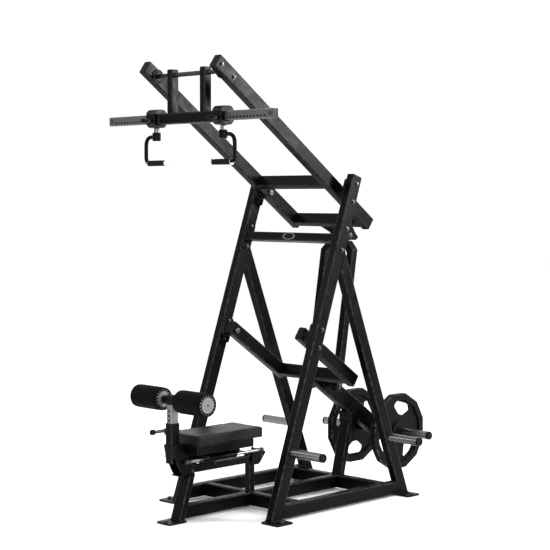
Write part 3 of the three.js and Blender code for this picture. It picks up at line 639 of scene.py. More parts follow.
def lever_bearing(label, node, pivot, arm_out, side):
    p = Piece(label, COAT, BOLT, CHROME)
    corners = [pivot + UPRIGHT_BACK * a + UPRIGHT_DIR * b for a, b in ((-38, -72), (38, -72), (38, 72), (-38, 72))]
    p.prism([(c.y, c.z) for c in corners], span((340.7, 350.7), side), X_AXIS, 14, 1.2)
    way = -X_AXIS * side
    start = Vector((side * 342, pivot.y, pivot.z))
    deep = 342 - arm_out
    p.turned(start, way, [(0, 0), (0, 42), (3, 40), (6, 36.5), (9, 36), (deep - 4, 36), (deep - 1.6, 34.6),
                          (deep - 1, 33), (deep - 1, 0)], 0, 56)
    p.turned(start, way, [(deep - 2, 0), (deep - 2, 15), (deep + 57, 15), (deep + 58, 14), (deep + 58, 0)], 2, 40)
    inner = Vector((side * (arm_out - 50), pivot.y, pivot.z))
    p.turned(inner, way, [(0.4, 0), (0.4, 24), (4, 24), (5, 23), (5, 0)], 0, 40)
    p.bolt(inner + way * 5, way, 22, 5, 14, 1)
    for up in (-52, 52):
        p.bolt(Vector((side * 340.7, 0, 0)) + pivot + UPRIGHT_DIR * up, way, 17, 8, 12, 1)
    p.finish("frame", node)


# ---- levers ----

def lever_arm(label, node, lever, length, arm_in, body, side, hanger_bolts=False):
    p = Piece(label, COAT, CAP, BOLT)
    x = span((arm_in, arm_in + 50), side)
    p.prism(lever.outline((3, length - 3), (-37.5, 37.5)), x, lever.along, TUBE_R, 0.8)
    for s in ((0, 3.2), (length - 3.2, length)):
        p.prism(lever.outline(s, (-36, 36)), (x[0] + 1.5, x[1] - 1.5), lever.along, 6, 1.2, 1)
    if hanger_bolts:
        for y, z in ((-640, 2416), (-555, 2354)):
            p.bolt((side * (arm_in + 50), y, z), X_AXIS * side, 17, 8, 12.5, 2)
    p.finish(body, node)


def lever_cross(p, lever, s, arm_in):
    p.prism(lever.outline((s, s + 38), (-37.5, 37.5)), (-arm_in + 0.3, arm_in - 0.3), X_AXIS, 6, 0.5)
    for side in (1, -1):
        x = side * (arm_in - 0.5)
        for a, b in (((s, -32), (s, 32)), ((s + 38, -32), (s + 38, 32)), ((s + 4, 37.5), (s + 34, 37.5))):
            p.weld(lever.place(*a, x), lever.place(*b, x), 2.8)


def rear_cross():
    p = Piece("upper_cross_tube_rear_look", COAT)
    lever_cross(p, UPPER, 1412, 255)
    outline = [(487, 1559.5), (561.9, 1525.5), (615, 1480), (672, 1478), (695, 1494), (664, 1527), (650, 1552),
               (530.5, 1618)]
    for side in (1, -1):
        p.prism(outline, span((44, 56), side), X_AXIS, 7, 1.0)
        for x in (43.5, 56.5):
            p.weld(UPPER.place(1450.5, -35, side * x), UPPER.place(1450.5, 35, side * x), 2.8)
    p.finish("upper_lever", "upper_cross_tube_rear")


def lever_beam():
    p = Piece("lever_beam_look", COAT, CAP)
    p.prism(LOWER.outline((510.8, 1217), (-50, 50)), (-25, 25), LOWER.along, TUBE_R, 0.8)
    p.prism(LOWER.outline((1216.8, 1220), (-48.5, 48.5)), (-23.5, 23.5), LOWER.along, 6, 1.2, 1)
    for side in (1, -1):
        way = X_AXIS * side
        p.turned(LINK_BOTTOM + way * 24, way, [(0, 0), (0, 24), (55, 24), (57, 22.6), (57.5, 21), (57.5, 0)], 0, 48)
        p.ring_weld(LINK_BOTTOM + way * 25, way, 24, 3.2)
        p.weld(LOWER.place(511, -46, side * 25), LOWER.place(511, 46, side * 25), 2.8)
    p.finish("lower_lever", "lever_beam")


def sleeve_bar():
    p = Piece("weight_sleeve_bar_look", CHROME, CAP, COAT)
    for side in (1, -1):
        way = X_AXIS * side
        p.turned(SLEEVE, way, [(0, 0), (0, 24.5), (151, 24.5), (151, 0)], 2, 56)
        p.turned(SLEEVE + way * 151, way, [(0, 0), (0, 24.5), (259, 24.5), (259, 0)], 0, 56)
        p.turned(SLEEVE + way * 409.8, way, [(0, 0), (0, 24.5), (11.7, 24.5), (13.5, 23.7), (14.2, 21.9), (14.2, 17),
                                             (12.4, 16), (12.4, 0)], 1, 56)
        p.turned(SLEEVE + way * 25.3, way, [(0, 24), (0, 35), (1, 36), (10.7, 36), (11.7, 35), (11.7, 24)], 2, 56)
        p.turned(SLEEVE + way * 143.7, way, [(0, 24), (0, 43.5), (1.5, 45), (6.5, 45), (8, 43.5), (8, 24)], 2, 56)
    p.finish("lower_lever", "weight_sleeve_bar", slot="chrome_tube")


def plate_point(angle, out, across=0.0):
    c, s = math.cos(angle), math.sin(angle)
    return SLEEVE.y + out * c - across * s, SLEEVE.z + out * s + across * c


def polygon(radius):
    return [plate_point(2 * math.pi * (i + 0.5) / 12, radius) for i in range(12)]


def subtract(obj, cutter):
    cut = obj.modifiers.new("cut", "BOOLEAN")
    cut.object = cutter
    cut.operation = "DIFFERENCE"
    cut.solver = "EXACT"
    apply_modifiers(obj)
    bpy.data.objects.remove(cutter)


PLATE_TURN = {"right": -15, "left": 60}


def weight_plate(name, side, turn):
    """Twelve-sided grip plate, rolled round by turn degrees: rim, sunk web, hub boss, three rounded hand holes."""
    body = Piece(f"weight_plate_{name}_look", IRON, CHROME)
    outer = 225 / math.cos(math.pi / 12)
    x = span((152, 192), side)
    body.prism(polygon(outer), x, X_AXIS, 5, 6, steps=3)
    obj = body.object()
    cutter = Piece("cutter", IRON)
    for ends in ((150, 164), (180, 194)):
        cutter.prism(polygon(192), span(ends, side), X_AXIS, 10, 0, steps=4)
    groove = cutter.object()
    hub = Piece("hub", IRON)
    hub.rod(SLEEVE + X_AXIS * side * 140, SLEEVE + X_AXIS * side * 204, 62, 0, 2, 48)
    subtract(groove, hub.object())
    subtract(obj, groove)
    holes = Piece("holes", IRON)
    corners = ((100, -24), (100, 24), (140, 78), (176, 58), (176, -58), (140, -78))
    for degrees in (90, 210, 330):
        outline = [plate_point(math.radians(degrees + turn), *c) for c in corners]
        holes.prism(outline, span((140, 204), side), X_AXIS, 12, 0, steps=4)
    holes.rod(SLEEVE + X_AXIS * side * 130, SLEEVE + X_AXIS * side * 210, 25.2, 0, 1, 48)
    subtract(obj, holes.object())
    soften = obj.modifiers.new("soften", "BEVEL")
    soften.width = 0.0016
    soften.segments = 2
    soften.limit_method = "ANGLE"
    soften.angle_limit = math.radians(50)
    apply_modifiers(obj)
    smooth(obj, 42)
    settle(obj, f"weight_plate_{name}", [f"weight_plate_{name}"])


def link_frame():
    p = Piece("link_frame_look", COAT, BOLT)
    slope = 0.1645
    front = lambda z: 430.3 + slope * (z - 620)
    outline = [(-128, 603), (-128, 1427), (-79, 1476), (79, 1476), (128, 1427), (128, 603), (82, 603), (82, 1408),
               (60, 1430), (-60, 1430), (-82, 1408), (-82, 603)]
    p.prism(outline, (0, 46.6), None, 0, 5.5, axis="y", shear=front)
    p.prism([(front(1466) + 2, 1466), (front(1466) + 44, 1466), (642, 1490), (615, 1527), (601, 1511)],
            (-43, 43), X_AXIS, 5, 1)
    p.rod(LINK_TOP - X_AXIS * 43, LINK_TOP + X_AXIS * 43, 24, 0, 1.5, 48)
    for side in (1, -1):
        way = X_AXIS * side
        p.bolt(LINK_TOP + way * 57, way, 19, 7, 16, 1)
        p.bolt(LINK_BOTTOM + way * 128, way, 24, 8, 18, 1)
        p.turned(LINK_BOTTOM + way * 128, way, [(0, 0), (0, 26), (1, 26), (1, 0)], 0, 40)
        p.prism([(front(605) + 8, 604), (front(605) + 38, 604), (front(605) + 38, 606), (front(605) + 8, 606)],
                span((90, 120), side), None, 0, 0.5)
    p.rod(LINK_TOP - X_AXIS * 58, LINK_TOP + X_AXIS * 58, 10.5, 1)
    p.weld((-40, front(1476) + 3, 1476.5), (40, front(1476) + 3, 1476.5), 2.8)
    p.weld((-40, front(1476) + 43, 1476.5), (40, front(1476) + 43, 1476.5), 2.8)
    p.finish("link", "link_frame")


# ---- hanger ----

def hanger_frame():
    p = Piece("hanger_frame_look", COAT, CAP, DARK_STEEL)
    y = (-621, -571)
    p.box((-213, 213), y, (BAR_Z - 30, BAR_Z + 30), X_AXIS, TUBE_R, 0.8)
    for side in (1, -1):
        x = span((109, 151), side)
        p.box(x, y, (BAR_Z + 28, 2413), Z_AXIS, TUBE_R, 0.8)
        p.box((x[0] + 1.5, x[1] - 1.5), (y[0] + 1.5, y[1] - 1.5), (2412.5, 2416), Z_AXIS, 6, 1.2, 1)
        p.weld((x[0], y[0] + 5, BAR_Z + 30.5), (x[0], y[1] - 5, BAR_Z + 30.5), 3)
        p.weld((x[1], y[0] + 5, BAR_Z + 30.5), (x[1], y[1] - 5, BAR_Z + 30.5), 3)
        p.box(span((212, 216), side), (y[0] + 3, y[1] - 3), (BAR_Z - 27, BAR_Z + 27), X_AXIS, 5, 1, 1)
        for edge in x:
            p.ring_weld((edge, HANGER.y, HANGER.z), X_AXIS if edge == x[1] else -X_AXIS, 12.5, 3)
    p.rod(HANGER - X_AXIS * 254, HANGER + X_AXIS * 254, 12.5, 2)
    p.finish("hanger", "hanger_frame")


def handle_bar():
    p = Piece("handle_bar_look", BAR_GREY, CAP, BOLT)
    y = (-616, -576)
    p.box((-648, 648), y, (BAR_Z - 25, BAR_Z + 25), X_AXIS, 5, 0.8)
    obj = p.object()
    # The hole cutters carry the black cap plastic, so each hole is lined with it: painted shade, a dark lining standing
    # in for the shadow inside the hollow bar.
    holes = Piece("holes", BAR_GREY, CAP)
    for side in (1, -1):
        for i in range(11):
            x = side * (340 + 25 * i)
            holes.rod((x, -630, BAR_Z - 10), (x, -584, BAR_Z - 10), 6, 1, 0.5, 20)
    subtract(obj, holes.object())
    trim = Piece("trim", BAR_GREY, CAP, BOLT)
    for side in (1, -1):
        trim.box(span((647.5, 650), side), (y[0] + 1.2, y[1] - 1.2), (BAR_Z - 23.8, BAR_Z + 23.8), X_AXIS, 4, 0.8, 1)
        trim.turned((side * 630, -616, BAR_Z), (0, -1, 0), [(0, 0), (0, 9), (4, 9), (6, 7.4), (7, 4.5), (7, 0)], 2, 28)
    extra = trim.object()
    join(obj, extra)
    smooth(obj)
    settle(obj, "hanger", ["handle_bar"])


def join(obj, other):
    bm = bmesh.new()
    bm.from_mesh(obj.data)
    bm.from_mesh(other.data)
    bm.to_mesh(obj.data)
    bm.free()
    bpy.data.objects.remove(other)


def hanger_bearing(name, side):
    p = Piece(f"hanger_bearing_{name}_look", COAT, BOLT)
    start = Vector((side * 254.7, HANGER.y, HANGER.z))
    way = -X_AXIS * side
    p.turned(start, way, [(0, 0), (0, 37), (1, 38), (6, 38), (7.5, 36), (8.5, 27), (10, 26), (13.4, 26), (14.7, 24.6),
                          (14.7, 13.5), (13, 13)], 0, 56)
    p.finish("upper_lever", f"hanger_bearing_{name}")


def bar_window(side):
    window = Piece("window", COAT, CAP)
    window.box(span((220, 310), side), (-616.6, -575.4), (BAR_Z - 25.6, BAR_Z + 25.6), X_AXIS, 4, 0, 1)
    return window.object()


def carriage(name, side):
    """Block with a window for the bar, plastic collars at the window's ends, and the handle's spindle below."""
    y, z = (-642, -550), (2108, 2207)
    outline = [(y[0] + 18, z[0]), (y[1] - 18, z[0]), (y[1], z[0] + 18), (y[1], z[1] - 18),
               (y[1] - 18, z[1]), (y[0] + 18, z[1]), (y[0], z[1] - 18), (y[0], z[0] + 18)]
    block = Piece(f"carriage_{name}_look", COAT, CAP, CHROME)
    block.prism(outline, span((230, 300), side), X_AXIS, 9, 3.0)
    obj = block.object()
    subtract(obj, bar_window(side))
    collars = Piece("collars", COAT, CAP, CHROME)
    for ends in ((228.5, 232), (298, 301.5)):
        collars.box(span(ends, side), (-623, -569), (BAR_Z - 32, BAR_Z + 32), X_AXIS, 6, 1, 1)
    rings = collars.object()
    subtract(rings, bar_window(side))
    join(obj, rings)
    trim = Piece("trim", COAT, CAP, CHROME)
    middle = Vector((side * 265, -596, 2109))
    trim.turned(middle, -Z_AXIS, [(0, 0), (0, 22), (2, 20), (4, 16.5), (6, 15), (25, 15), (26, 14), (26, 0)], 2, 44)
    trim.rod((side * 265, -596, 2086), (side * 265, -596, 2046), 8, 2)
    trim.turned((side * 265, -641.5, 2144), (0, -1, 0), [(0, 0), (0, 14), (0.4, 14.5), (0.4, 0)], 1, 36)
    join(obj, trim.object())
    smooth(obj)
    settle(obj, f"carriage_{name}", [f"carriage_{name}"])


def knob_profile(start, end, radius, ribs=5):
    """A domed knob with shallow finger rings."""
    points = [(start, 0), (start, radius * 0.72), (start + 2, radius * 0.8)]
    step = (end - start - 6) / ribs
    for i in range(ribs):
        base = start + 2 + step * i
        points += [(base + step * 0.15, radius * 0.97), (base + step * 0.55, radius), (base + step * 0.85, radius * 0.93)]
    return points + [(end - 2.2, radius * 0.95), (end - 0.6, radius * 0.75), (end, radius * 0.4), (end, 0)]


def pull_pin(label, node, body, x, face, z, reach, stem, knob):
    """Spring pin: threaded barrel, plunger and ribbed knob, pointing to the front."""
    p = Piece(label, DARK_STEEL, CAP)
    start = Vector((x, face, z))
    way = -Y_AXIS
    barrel = reach - 24
    profile = [(0.3, 0), (0.3, stem + 1.5), (5, stem + 1.5), (5.6, stem)]
    threads = 6
    for i in range(threads):
        s = 7 + i * 2.0
        profile += [(s, stem - 0.9), (s + 1.0, stem)]
    profile += [(22, stem * 0.94), (barrel, stem * 0.94), (barrel, 0)]
    p.turned(start, way, profile, 0, 36)
    p.turned(start, way, knob_profile(barrel - 1, reach, knob), 1, 40)
    return p


def carriage_pin(name, side):
    p = pull_pin(f"carriage_pin_{name}_look", None, None, side * 265, -642, 2144, 60, 9, 12)
    p.rod((side * 265, -642.5, 2144), (side * 265, -618, 2144), 5, 0)
    p.finish(f"carriage_pin_{name}", f"carriage_pin_{name}")


def bend(a, corner, b, steps=12):
    return [a * (1 - t) ** 2 + corner * 2 * t * (1 - t) + b * t * t for t in (i / steps for i in range(steps + 1))]


def swivel_handle(name, side):
    p = Piece(f"swivel_handle_{name}_look", COAT, RUBBER, CHROME)
    at = lambda x, z: Vector((side * x, -596, z))
    p.turned(at(265, 2082.5), -Z_AXIS, [(0, 0), (0, 21), (2, 23), (42, 23), (44.5, 21), (45.5, 18), (45.5, 0)], 0, 48)
    path = [at(272, 2060)] + bend(at(303, 2060), at(353, 2060), at(353, 2010))
    path += bend(at(353, 1951), at(353, 1917), at(320, 1917)) + [at(300, 1917)]
    p.sweep(path, 10.8, 0, 28)
    p.ring_weld(at(286.5, 2060), X_AXIS * side, 10.8, 3)
    grip = [(0, 0), (0, 14.6), (1.2, 15.5)]
    for i in range(16):
        s = 5 + i * 7.6
        grip += [(s, 15.5), (s + 1.0, 14.5), (s + 2.4, 14.5), (s + 3.4, 15.5)]
    p.turned(at(328, 1917), -X_AXIS * side, grip + [(133, 15.5), (134.5, 14.4), (134.5, 0)], 1, 44)
    p.turned(at(330, 1917), -X_AXIS * side, [(-2, 11), (-2, 15), (-1, 16.2), (3, 16.2), (4, 15), (4, 11)], 2, 44)
    p.turned(at(194, 1917), -X_AXIS * side, [(0, 0), (0, 16.6), (1, 17.5), (7, 17.5), (8.6, 16), (9, 14), (9, 0)], 2, 44)
    p.finish(f"swivel_handle_{name}", f"swivel_handle_{name}", slot="black_powder_coat")


# ---- seat stand and linkage ----

def seat_front_leg():
    p = Piece("seat_front_leg_look", COAT, BOLT)
    front = lambda z: on_slope(-710, 0.324, z)
    back = lambda z: on_slope(-670, 0.324, z)
    p.prism([(front(10), 10), (back(10), 10), (back(247), 247), (front(247), 247)], (-37.5, 37.5),
            (0, 0.3082, 0.9513), 6, 0.6)
    p.box((-55, 55), (-790, -665), (0, 10), Z_AXIS, 10, 1.5)
    p.weld((-36, front(12), 11), (36, front(12), 11))
    for side in (1, -1):
        p.weld((side * 38, front(12), 11), (side * 38, back(12), 11))
    p.box((-37.5, 37.5), (-697, -592), (246, 252), Z_AXIS, 2, 1)
    outline = [(-751, 420), (-738, 355), (-697, 272), (-680, 246), (-600, 246), (-600, 276), (-690, 420)]
    for side in (1, -1):
        p.prism(outline, span((31.5, 37.5), side), X_AXIS, 8, 1.0)
        p.box(span((25.3, 32), side), (-745, -695), (350, 415), None, 0, 1)
        p.weld((side * 28.5, -745, 416), (side * 28.5, -695, 416), 3)
        p.bolt((side * 37.5, -612, 268), X_AXIS * side, 13, 5, 9, 1)
    p.bolt((0, -772, 10), Z_AXIS, 19, 9, 14, 1)
    p.finish("frame", "seat_front_leg")


def seat_rail():
    p = Piece("seat_rail_look", COAT)
    p.box((-20, 20), (-630, -130), (252.3, 292), Y_AXIS, 5, 0.8)
    p.rod((-20, -440, 287), (20, -440, 287), 12, 0, 1, 32)
    for y in (-452.5, -427.5):
        p.weld((-18, y, 292), (18, y, 292), 2.4)
    p.finish("frame", "seat_rail")


def seat_rear_post():
    p = Piece("seat_rear_post_look", COAT, BOLT)
    p.box((-20, 20), (-170, -130), (87.3, 252), Z_AXIS, 5, 0.6)
    p.weld((-18, -170, 88), (18, -170, 88), 2.6)
    outline = [(-161, 311), (-63, 311), (-55, 301), (-106, 240), (-161, 240)]
    for side in (1, -1):
        p.weld((side * 20, -168, 88), (side * 20, -132, 88), 2.6)
        p.prism(outline, span((26.2, 32.2), side), X_AXIS, 7, 1.0)
        p.box(span((20.3, 27), side), (-161, -135), (252, 268), None, 0, 0.8)
        p.box(span((19, 27), side), (-161, -135), (240, 251), None, 0, 0.8)
    p.finish("frame", "seat_rear_post")


SEAT_LINK = Vector((0, -160.8, 37))
FRONT_PIVOT = Vector((0, -440, 287))
REAR_PIVOT = Vector((0, -92, 287))
CRANK = Vector((0, -14.5, 35.1))
GAS_X = 50


def bar_outline(a, b, half):
    """Outline of a flat bar with rounded ends from a to b."""
    way = (b - a).normalized()
    up = Vector((0, -way.z, way.y))
    points = []
    for centre, start in ((b, -90), (a, 90)):
        for i in range(9):
            t = math.radians(start + 22.5 * i)
            points.append(centre + way * math.cos(t) * half + up * math.sin(t) * half)
    return [(c.y, c.z) for c in points]


def seat_link(label, node, pivot, pin_reach, crank=False):
    p = Piece(label, COAT, BOLT)
    for side in (1, -1):
        x = span((20.8, 25.8), side)
        p.prism(bar_outline(pivot, pivot + SEAT_LINK, 10), x, None, 0, 0.7)
        if crank:
            p.prism(bar_outline(pivot, pivot + CRANK, 9), x, None, 0, 0.7)
    p.rod(pivot - X_AXIS * pin_reach, pivot + X_AXIS * pin_reach, 5, 1, 0.8, 24)
    if crank:
        tip = pivot + CRANK
        p.rod(tip - X_AXIS * 25.5, tip + X_AXIS * (GAS_X + 9), 5, 1, 0.8, 24)
        p.turned(tip + X_AXIS * (GAS_X + 8.6), X_AXIS, [(0, 0), (0, 8), (2.4, 8), (3.4, 6.6), (3.4, 0)], 1, 24)
    p.finish(node, node)


def seat_underframe():
    p = Piece("seat_underframe_look", COAT, BOLT, CAP)
    p.box((-120, 120), (-650, -235), (404, 410), Z_AXIS, 3, 1)
    for side in (1, -1):
        p.box(span((114, 120), side), (-650, -235), (366, 406), X_AXIS, 3, 1.2)
    for y in ((-650, -644), (-241, -235)):
        p.box((-119, 119), y, (366, 406), Y_AXIS, 3, 1.2)
    p.box((66, 78.8), (-600, -580), (352, 405), X_AXIS, 3, 1)
    p.box((-19, 19), (-614, -243), (312, 405), Y_AXIS, 4, 0.8)
    p.box((-15.5, 15.5), (-614.4, -613), (316, 401), Y_AXIS, 2, 0.3, 2)
    for pivot in (FRONT_PIVOT, REAR_PIVOT):
        tip = pivot + SEAT_LINK
        p.rod(tip - X_AXIS * 29, tip + X_AXIS * 29, 5, 1, 0.6, 24)
        for side in (1, -1):
            p.turned(tip + X_AXIS * side * 26.4, X_AXIS * side, [(0, 5), (0, 8), (1.6, 8), (2.2, 7), (2.2, 5)], 1, 24)
    for y in (-600, -290):
        for x in (-80, 80):
            p.turned((x, y, 404), -Z_AXIS, [(-1, 7), (2, 7), (3.6, 5), (3.6, 0)], 1, 24)
    p.finish("seat", "seat_underframe")


def gas_spring():
    z = 323.6
    at = lambda y: Vector((GAS_X, y, z))
    p = Piece("gas_cylinder_look", COAT, BOLT, POST_GREY)
    p.turned(at(-560), Y_AXIS, [(0, 0), (0, 13), (2, 15.8), (4, 17), (250, 17), (253, 16), (254.5, 14), (258, 12),
                                (258, 8.5)], 0, 48)
    p.rod(at(-664), at(-558), 9, 2, 1, 32)
    p.turned(at(-655), Y_AXIS, [(0, 9), (0, 12), (1, 13), (14, 13), (15, 12), (15, 9)], 1, 6)
    p.turned(at(-570), Y_AXIS, [(0, 9), (0, 15), (9, 15), (10, 14), (10, 9)], 1, 32)
    p.rod(at(-672) - X_AXIS * 9, at(-672) + X_AXIS * 9, 12, 1, 1.5, 36)
    p.rod(at(-672) - X_AXIS * (GAS_X - 37.8), at(-672) + X_AXIS * 11, 6, 1, 0.8, 28)
    p.bolt(at(-672) + X_AXIS * 9, X_AXIS, 13, 5, 9, 1)
    p.finish("frame", "gas_cylinder")
    q = Piece("gas_rod_look", CHROME, BOLT)
    q.rod(at(-382), at(-118), 8, 0, 0.8, 40)
    q.turned(at(-136), Y_AXIS, [(0, 8), (0, 10.5), (1, 11), (12, 11), (13, 10), (18, 9)], 1, 6)
    q.turned(at(-106.5) - X_AXIS * 8, X_AXIS, [(0, 7.8), (0, 12), (1, 13), (15, 13), (16, 12), (16, 7.8)], 1, 40)
    q.finish("gas_rod", "gas_rod", slot="chrome_tube")


def release_lever():
    p = Piece("seat_release_lever_look", COAT, CAP)
    p.rod((80.1, -590, 356.5), (101, -590, 356.5), 4, 0, 0.8, 24)
    p.box((92, 124), (-599, -581), (353, 357.2), X_AXIS, 1.5, 0.8)
    p.box((112, 142), (-600, -580), (352.5, 357.5), Z_AXIS, 7, 1.6, 1)
    p.finish("seat_release_lever", "seat_release_lever")


# ---- cushion ----

def rounded_block(name, low, high, radius, material):
    p = Piece(name, material)
    outline = [(low[1], low[2]), (high[1], low[2]), (high[1], high[2]), (low[1], high[2])]
    p.prism(outline, (low[0], high[0]), Z_AXIS, radius, 6, steps=5)
    return p.object()


def remesh(obj, voxel):
    step = obj.modifiers.new("remesh", "REMESH")
    step.mode = "VOXEL"
    step.voxel_size = voxel
    apply_modifiers(obj)


def inflate(obj, pressure, cap, frames=18):
    """Runs cloth under pressure, then keeps each point within cap metres of where it began."""
    before = [v.co.copy() for v in obj.data.vertices]
    cloth = obj.modifiers.new("cloth", "CLOTH")
    settings = cloth.settings
    settings.quality = 6
    settings.mass = 0.25
    settings.tension_stiffness = 18
    settings.compression_stiffness = 18
    settings.shear_stiffness = 8
    settings.bending_stiffness = 1.2
    settings.use_pressure = True
    settings.uniform_pressure_force = pressure
    settings.effector_weights.gravity = 0
    cloth.collision_settings.use_collision = False
    scene = bpy.context.scene
    cloth.point_cache.frame_start = 1
    cloth.point_cache.frame_end = frames
    for number in range(1, frames + 1):
        scene.frame_set(number)
    apply_modifiers(obj)
    for v, start in zip(obj.data.vertices, before):
        move = v.co - start
        if move.length > cap:
            v.co = start + move.normalized() * cap
    scene.frame_set(1)


CUSHION_LOW = Vector((-133, -658, 410.4))
CUSHION_HIGH = Vector((133, -155, 468))


def keep_inside(obj, low, high):
    lo, hi = metres(low), metres(high)
    for v in obj.data.vertices:
        for axis in range(3):
            v.co[axis] = min(max(v.co[axis], lo[axis]), hi[axis])


def cushion():
    inset = Vector((4, 4, 3))
    obj = rounded_block("seat_cushion_look", CUSHION_LOW + Vector((4, 4, 0)), CUSHION_HIGH - inset, 16, VINYL)
    remesh(obj, 0.006)
    inflate(obj, 4.0, 0.006)
    keep_inside(obj, CUSHION_LOW, CUSHION_HIGH)
    finer = obj.modifiers.new("finer", "SUBSURF")
    finer.levels = finer.render_levels = 1
    apply_modifiers(obj)
    keep_inside(obj, CUSHION_LOW, CUSHION_HIGH)
    obj.data.materials.clear()
    obj.data.materials.append(VINYL)
    obj.data.polygons.foreach_set("use_smooth", [True] * len(obj.data.polygons))
    settle(obj, "seat", ["seat_cushion"])
    piping("seat_piping_top", obj, 459)
    piping("seat_piping_base", obj, 415)


def on_cover(cover, point):
    """The nearest place on the cover to a point in millimetres, kept at the point's own height."""
    found, place, *rest = cover.closest_point_on_mesh(metres(point))
    return Vector((place.x * 1000, place.y * 1000 - Y_SHIFT, point.z))


def piping(name, cover, z):
    """Thin welt sewn round the cushion, laid on its cover."""
    middle = (CUSHION_LOW + CUSHION_HIGH) / 2
    half_x, half_y = 120, 240
    points = []
    for cx, cy, start in ((half_x, half_y, 0), (-half_x, half_y, 90), (-half_x, -half_y, 180), (half_x, -half_y, 270)):
        for i in range(9):
            t = math.radians(start + 90 * i / 8)
            outside = Vector((middle.x + cx + 40 * math.cos(t), middle.y + cy + 40 * math.sin(t), z))
            points.append(on_cover(cover, outside))
    points.append(points[0].copy())
    p = Piece(name, VINYL)
    p.sweep(points, 1.9, 0, 10)
    p.finish("seat", slot="seat_vinyl", angle=60)


# ---- thigh rollers ----

def thigh_sleeve():
    p = Piece("thigh_sleeve_look", COAT, CAP)
    p.box((-25, 25), (-750, -690), (320, 532), Z_AXIS, 6, 0.8)
    p.box((-23.5, 23.5), (-748.5, -691.5), (531, 535), Z_AXIS, 5, 1, 1)
    p.turned((0, -749, 500), -Y_AXIS, [(0, 0), (0, 15.5), (2, 13), (4, 11.5), (25, 11.5), (26, 10.8), (26, 6.2)], 0, 36)
    p.finish("frame", "thigh_sleeve")


def thigh_post():
    p = Piece("thigh_post_look", POST_GREY, CAP)
    p.box((-20, 20), (-745, -695), (342, 634), Z_AXIS, 5, 0.8)
    obj = p.object()
    # The hole cutters carry the black cap plastic, so each hole is lined with it: painted shade, a dark lining standing
    # in for the shadow inside the hollow post.
    holes = Piece("holes", POST_GREY, CAP)
    for i in range(10):
        z = 375 + 25 * i
        holes.rod((0, -760, z), (0, -705, z), 6.5, 1, 0.5, 20)
    subtract(obj, holes.object())
    smooth(obj)
    settle(obj, "thigh_post", ["thigh_post"])


def roller_axle():
    p = Piece("roller_axle_look", COAT, BOLT)
    centre = Vector((0, -720, 656))
    p.turned(centre - X_AXIS * 30, X_AXIS, [(0, 0), (0, 29.5), (1.5, 31), (58.5, 31), (60, 29.5), (60, 0)], 0, 56)
    for side in (1, -1):
        way = X_AXIS * side
        p.turned(centre + way * 29, way, [(0, 0), (0, 20), (28, 20), (28.4, 21.4), (36, 21.4), (36.8, 20), (37, 0)],
                 0, 48)
        p.ring_weld(centre + way * 30, way, 20, 3)
        p.rod(centre + way * 60, centre + way * 271, 12, 1)
    p.weld((-19, -744, 636), (19, -744, 636), 2.8)
    p.finish("thigh_post", "roller_axle")


def thigh_roller(name, side):
    """Foam roller on a plastic core: toothed end rings and a pale hub disc with its bolt."""
    centre = Vector((0, -720, 656))
    way = X_AXIS * side
    p = Piece(f"thigh_roller_{name}_look", FOAM, POST_GREY, CAP, BOLT)
    start = centre + way * 67
    foam = [(7, 13), (7, 50), (8.5, 56.5), (13, 60.8), (20, 62.3), (67, 62.5), (157, 62.5), (193, 62.3), (200, 60.8),
            (204.5, 56.5), (206, 50), (206, 13)]
    p.turned(start, way, foam, 0, 72)
    for face, out in ((start + way * 212.8, way), (start + way * 0.2, -way)):
        p.turned(face - out * 12, out, [(0, 13), (0, 54), (6.2, 54), (7.2, 53), (7.2, 13)], 1, 72)
        p.turned(face - out * 8, out, [(0, 54.2), (0, 59), (2, 60.5), (5, 60.5), (6.6, 59.4), (7, 58), (6.4, 56.4),
                                       (0, 54.2)], 0, 72)
        p.turned(face - out * 6, out, [(0, 13), (0, 40), (4.6, 40), (5.8, 39), (6, 37), (5.2, 35.5), (5.2, 18),
                                       (6, 17), (6, 13)], 1, 72)
        for i in range(18):
            corners = [Matrix.Rotation(2 * math.pi * i / 18, 3, "X") @ Vector((0, a, b))
                       for a, b in ((-4.2, 42), (4.2, 42), (5.8, 56), (-5.8, 56))]
            ends = sorted(((face - out * 6).x, (face - out * 0.8).x))
            p.prism([(centre.y + c.y, centre.z + c.z) for c in corners], ends, X_AXIS, 2.5, 0.8, 2, steps=2)
    p.turned(start + way * 209, way, [(0, 0), (0, 16), (2.8, 16), (3.4, 15), (3.4, 0)], 2, 32)
    p.turned(start + way * 211.8, way, [(0, 0), (0, 7.5), (0.8, 7.5), (1.2, 6.5), (1.2, 0)], 3, 6)
    obj = p.finish(f"thigh_roller_{name}", f"thigh_roller_{name}", slot="roller_foam")


def thigh_pull_pin():
    p = Piece("thigh_pull_pin_look", DARK_STEEL, CAP)
    start = Vector((0, -720, 500))
    way = -Y_AXIS
    p.rod(start + way * 26, start + way * 60, 6, 0)
    profile = [(56.3, 0), (56.3, 9)]
    for i in range(8):
        profile += [(60 + i * 2, 8.2), (61 + i * 2, 9)]
    p.turned(start, way, profile + [(78, 8.5), (130, 8.5), (130, 0)], 0, 36)
    p.turned(start, way, knob_profile(127, 150, 14.5), 1, 40)
    p.finish("thigh_pull_pin", "thigh_pull_pin")


# ---- everything in place ----

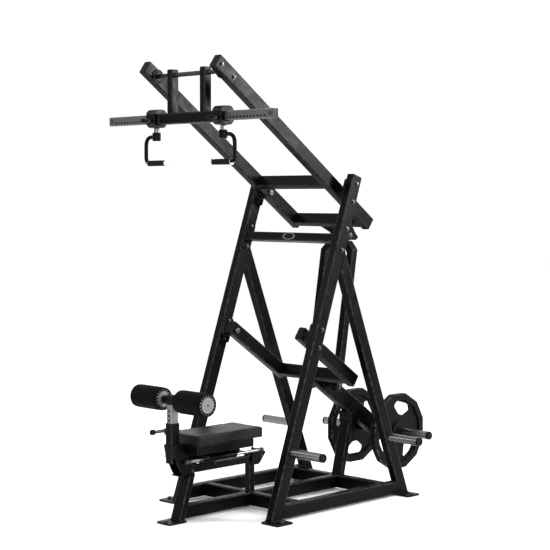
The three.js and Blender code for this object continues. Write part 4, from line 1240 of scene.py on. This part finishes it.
camera()
studio()
for label, sign in SIDES:
    upright(label, sign)
    rear_leg(label, sign)
    side_rail(label, sign)
    cross_rail(f"front_cross_rail_{label}_look", [f"front_cross_rail_{label}"], span((25.3, 350.7), sign), (-170, -120))
    storage_peg(label, "front", -216, 360, 630, sign)
    storage_peg(label, "rear", 585, 352, 625, sign)
    lever_bearing(f"upper_bearing_{label}_look", f"upper_bearing_{label}", UPPER_PIVOT, 305, sign)
    lever_bearing(f"lower_bearing_{label}_look", f"lower_bearing_{label}", LOWER_PIVOT, 303, sign)
    lever_arm(f"upper_arm_{label}_look", f"upper_arm_{label}", UPPER, 1470, 255, "upper_lever", sign, True)
    lever_arm(f"lower_arm_{label}_look", f"lower_arm_{label}", LOWER, 534.6, 253, "lower_lever", sign)
    weight_plate(label, sign, PLATE_TURN[label])
    hanger_bearing(label, sign)
    carriage(label, sign)
    carriage_pin(label, sign)
    swivel_handle(label, sign)
    thigh_roller(label, sign)
cross_rail("rear_cross_rail_look", ["rear_cross_rail"], (-350.7, 350.7), (543, 593))
centre_beam()
top_crossbar()
nameplate()
rest_post()
rest_bumper()
for label, node, lever, s, arm_in, body in (
        ("upper_cross_tube_front_look", "upper_cross_tube_front", UPPER, 1039, 255, "upper_lever"),
        ("lower_cross_tube_look", "lower_cross_tube", LOWER, 472.5, 253, "lower_lever")):
    cross = Piece(label, COAT)
    lever_cross(cross, lever, s, arm_in)
    cross.finish(body, node)
rear_cross()
lever_beam()
sleeve_bar()
link_frame()
hanger_frame()
handle_bar()
seat_front_leg()
seat_rail()
seat_rear_post()
seat_link("seat_front_link_look", "seat_front_link", FRONT_PIVOT, 29)
seat_link("seat_rear_link_look", "seat_rear_link", REAR_PIVOT, 36, True)
seat_underframe()
gas_spring()
release_lever()
cushion()
thigh_sleeve()
thigh_post()
roller_axle()
thigh_pull_pin()


def floor():
    mesh = bpy.data.meshes.new("floor")
    size = 30
    mesh.from_pydata([(-size, -size, -0.0005), (size, -size, -0.0005), (size, size, -0.0005), (-size, size, -0.0005)],
                     [], [(0, 1, 2, 3)])
    mesh.materials.append(floor_paint())
    obj = bpy.data.objects.new("floor", mesh)
    bpy.context.scene.collection.objects.link(obj)


floor()
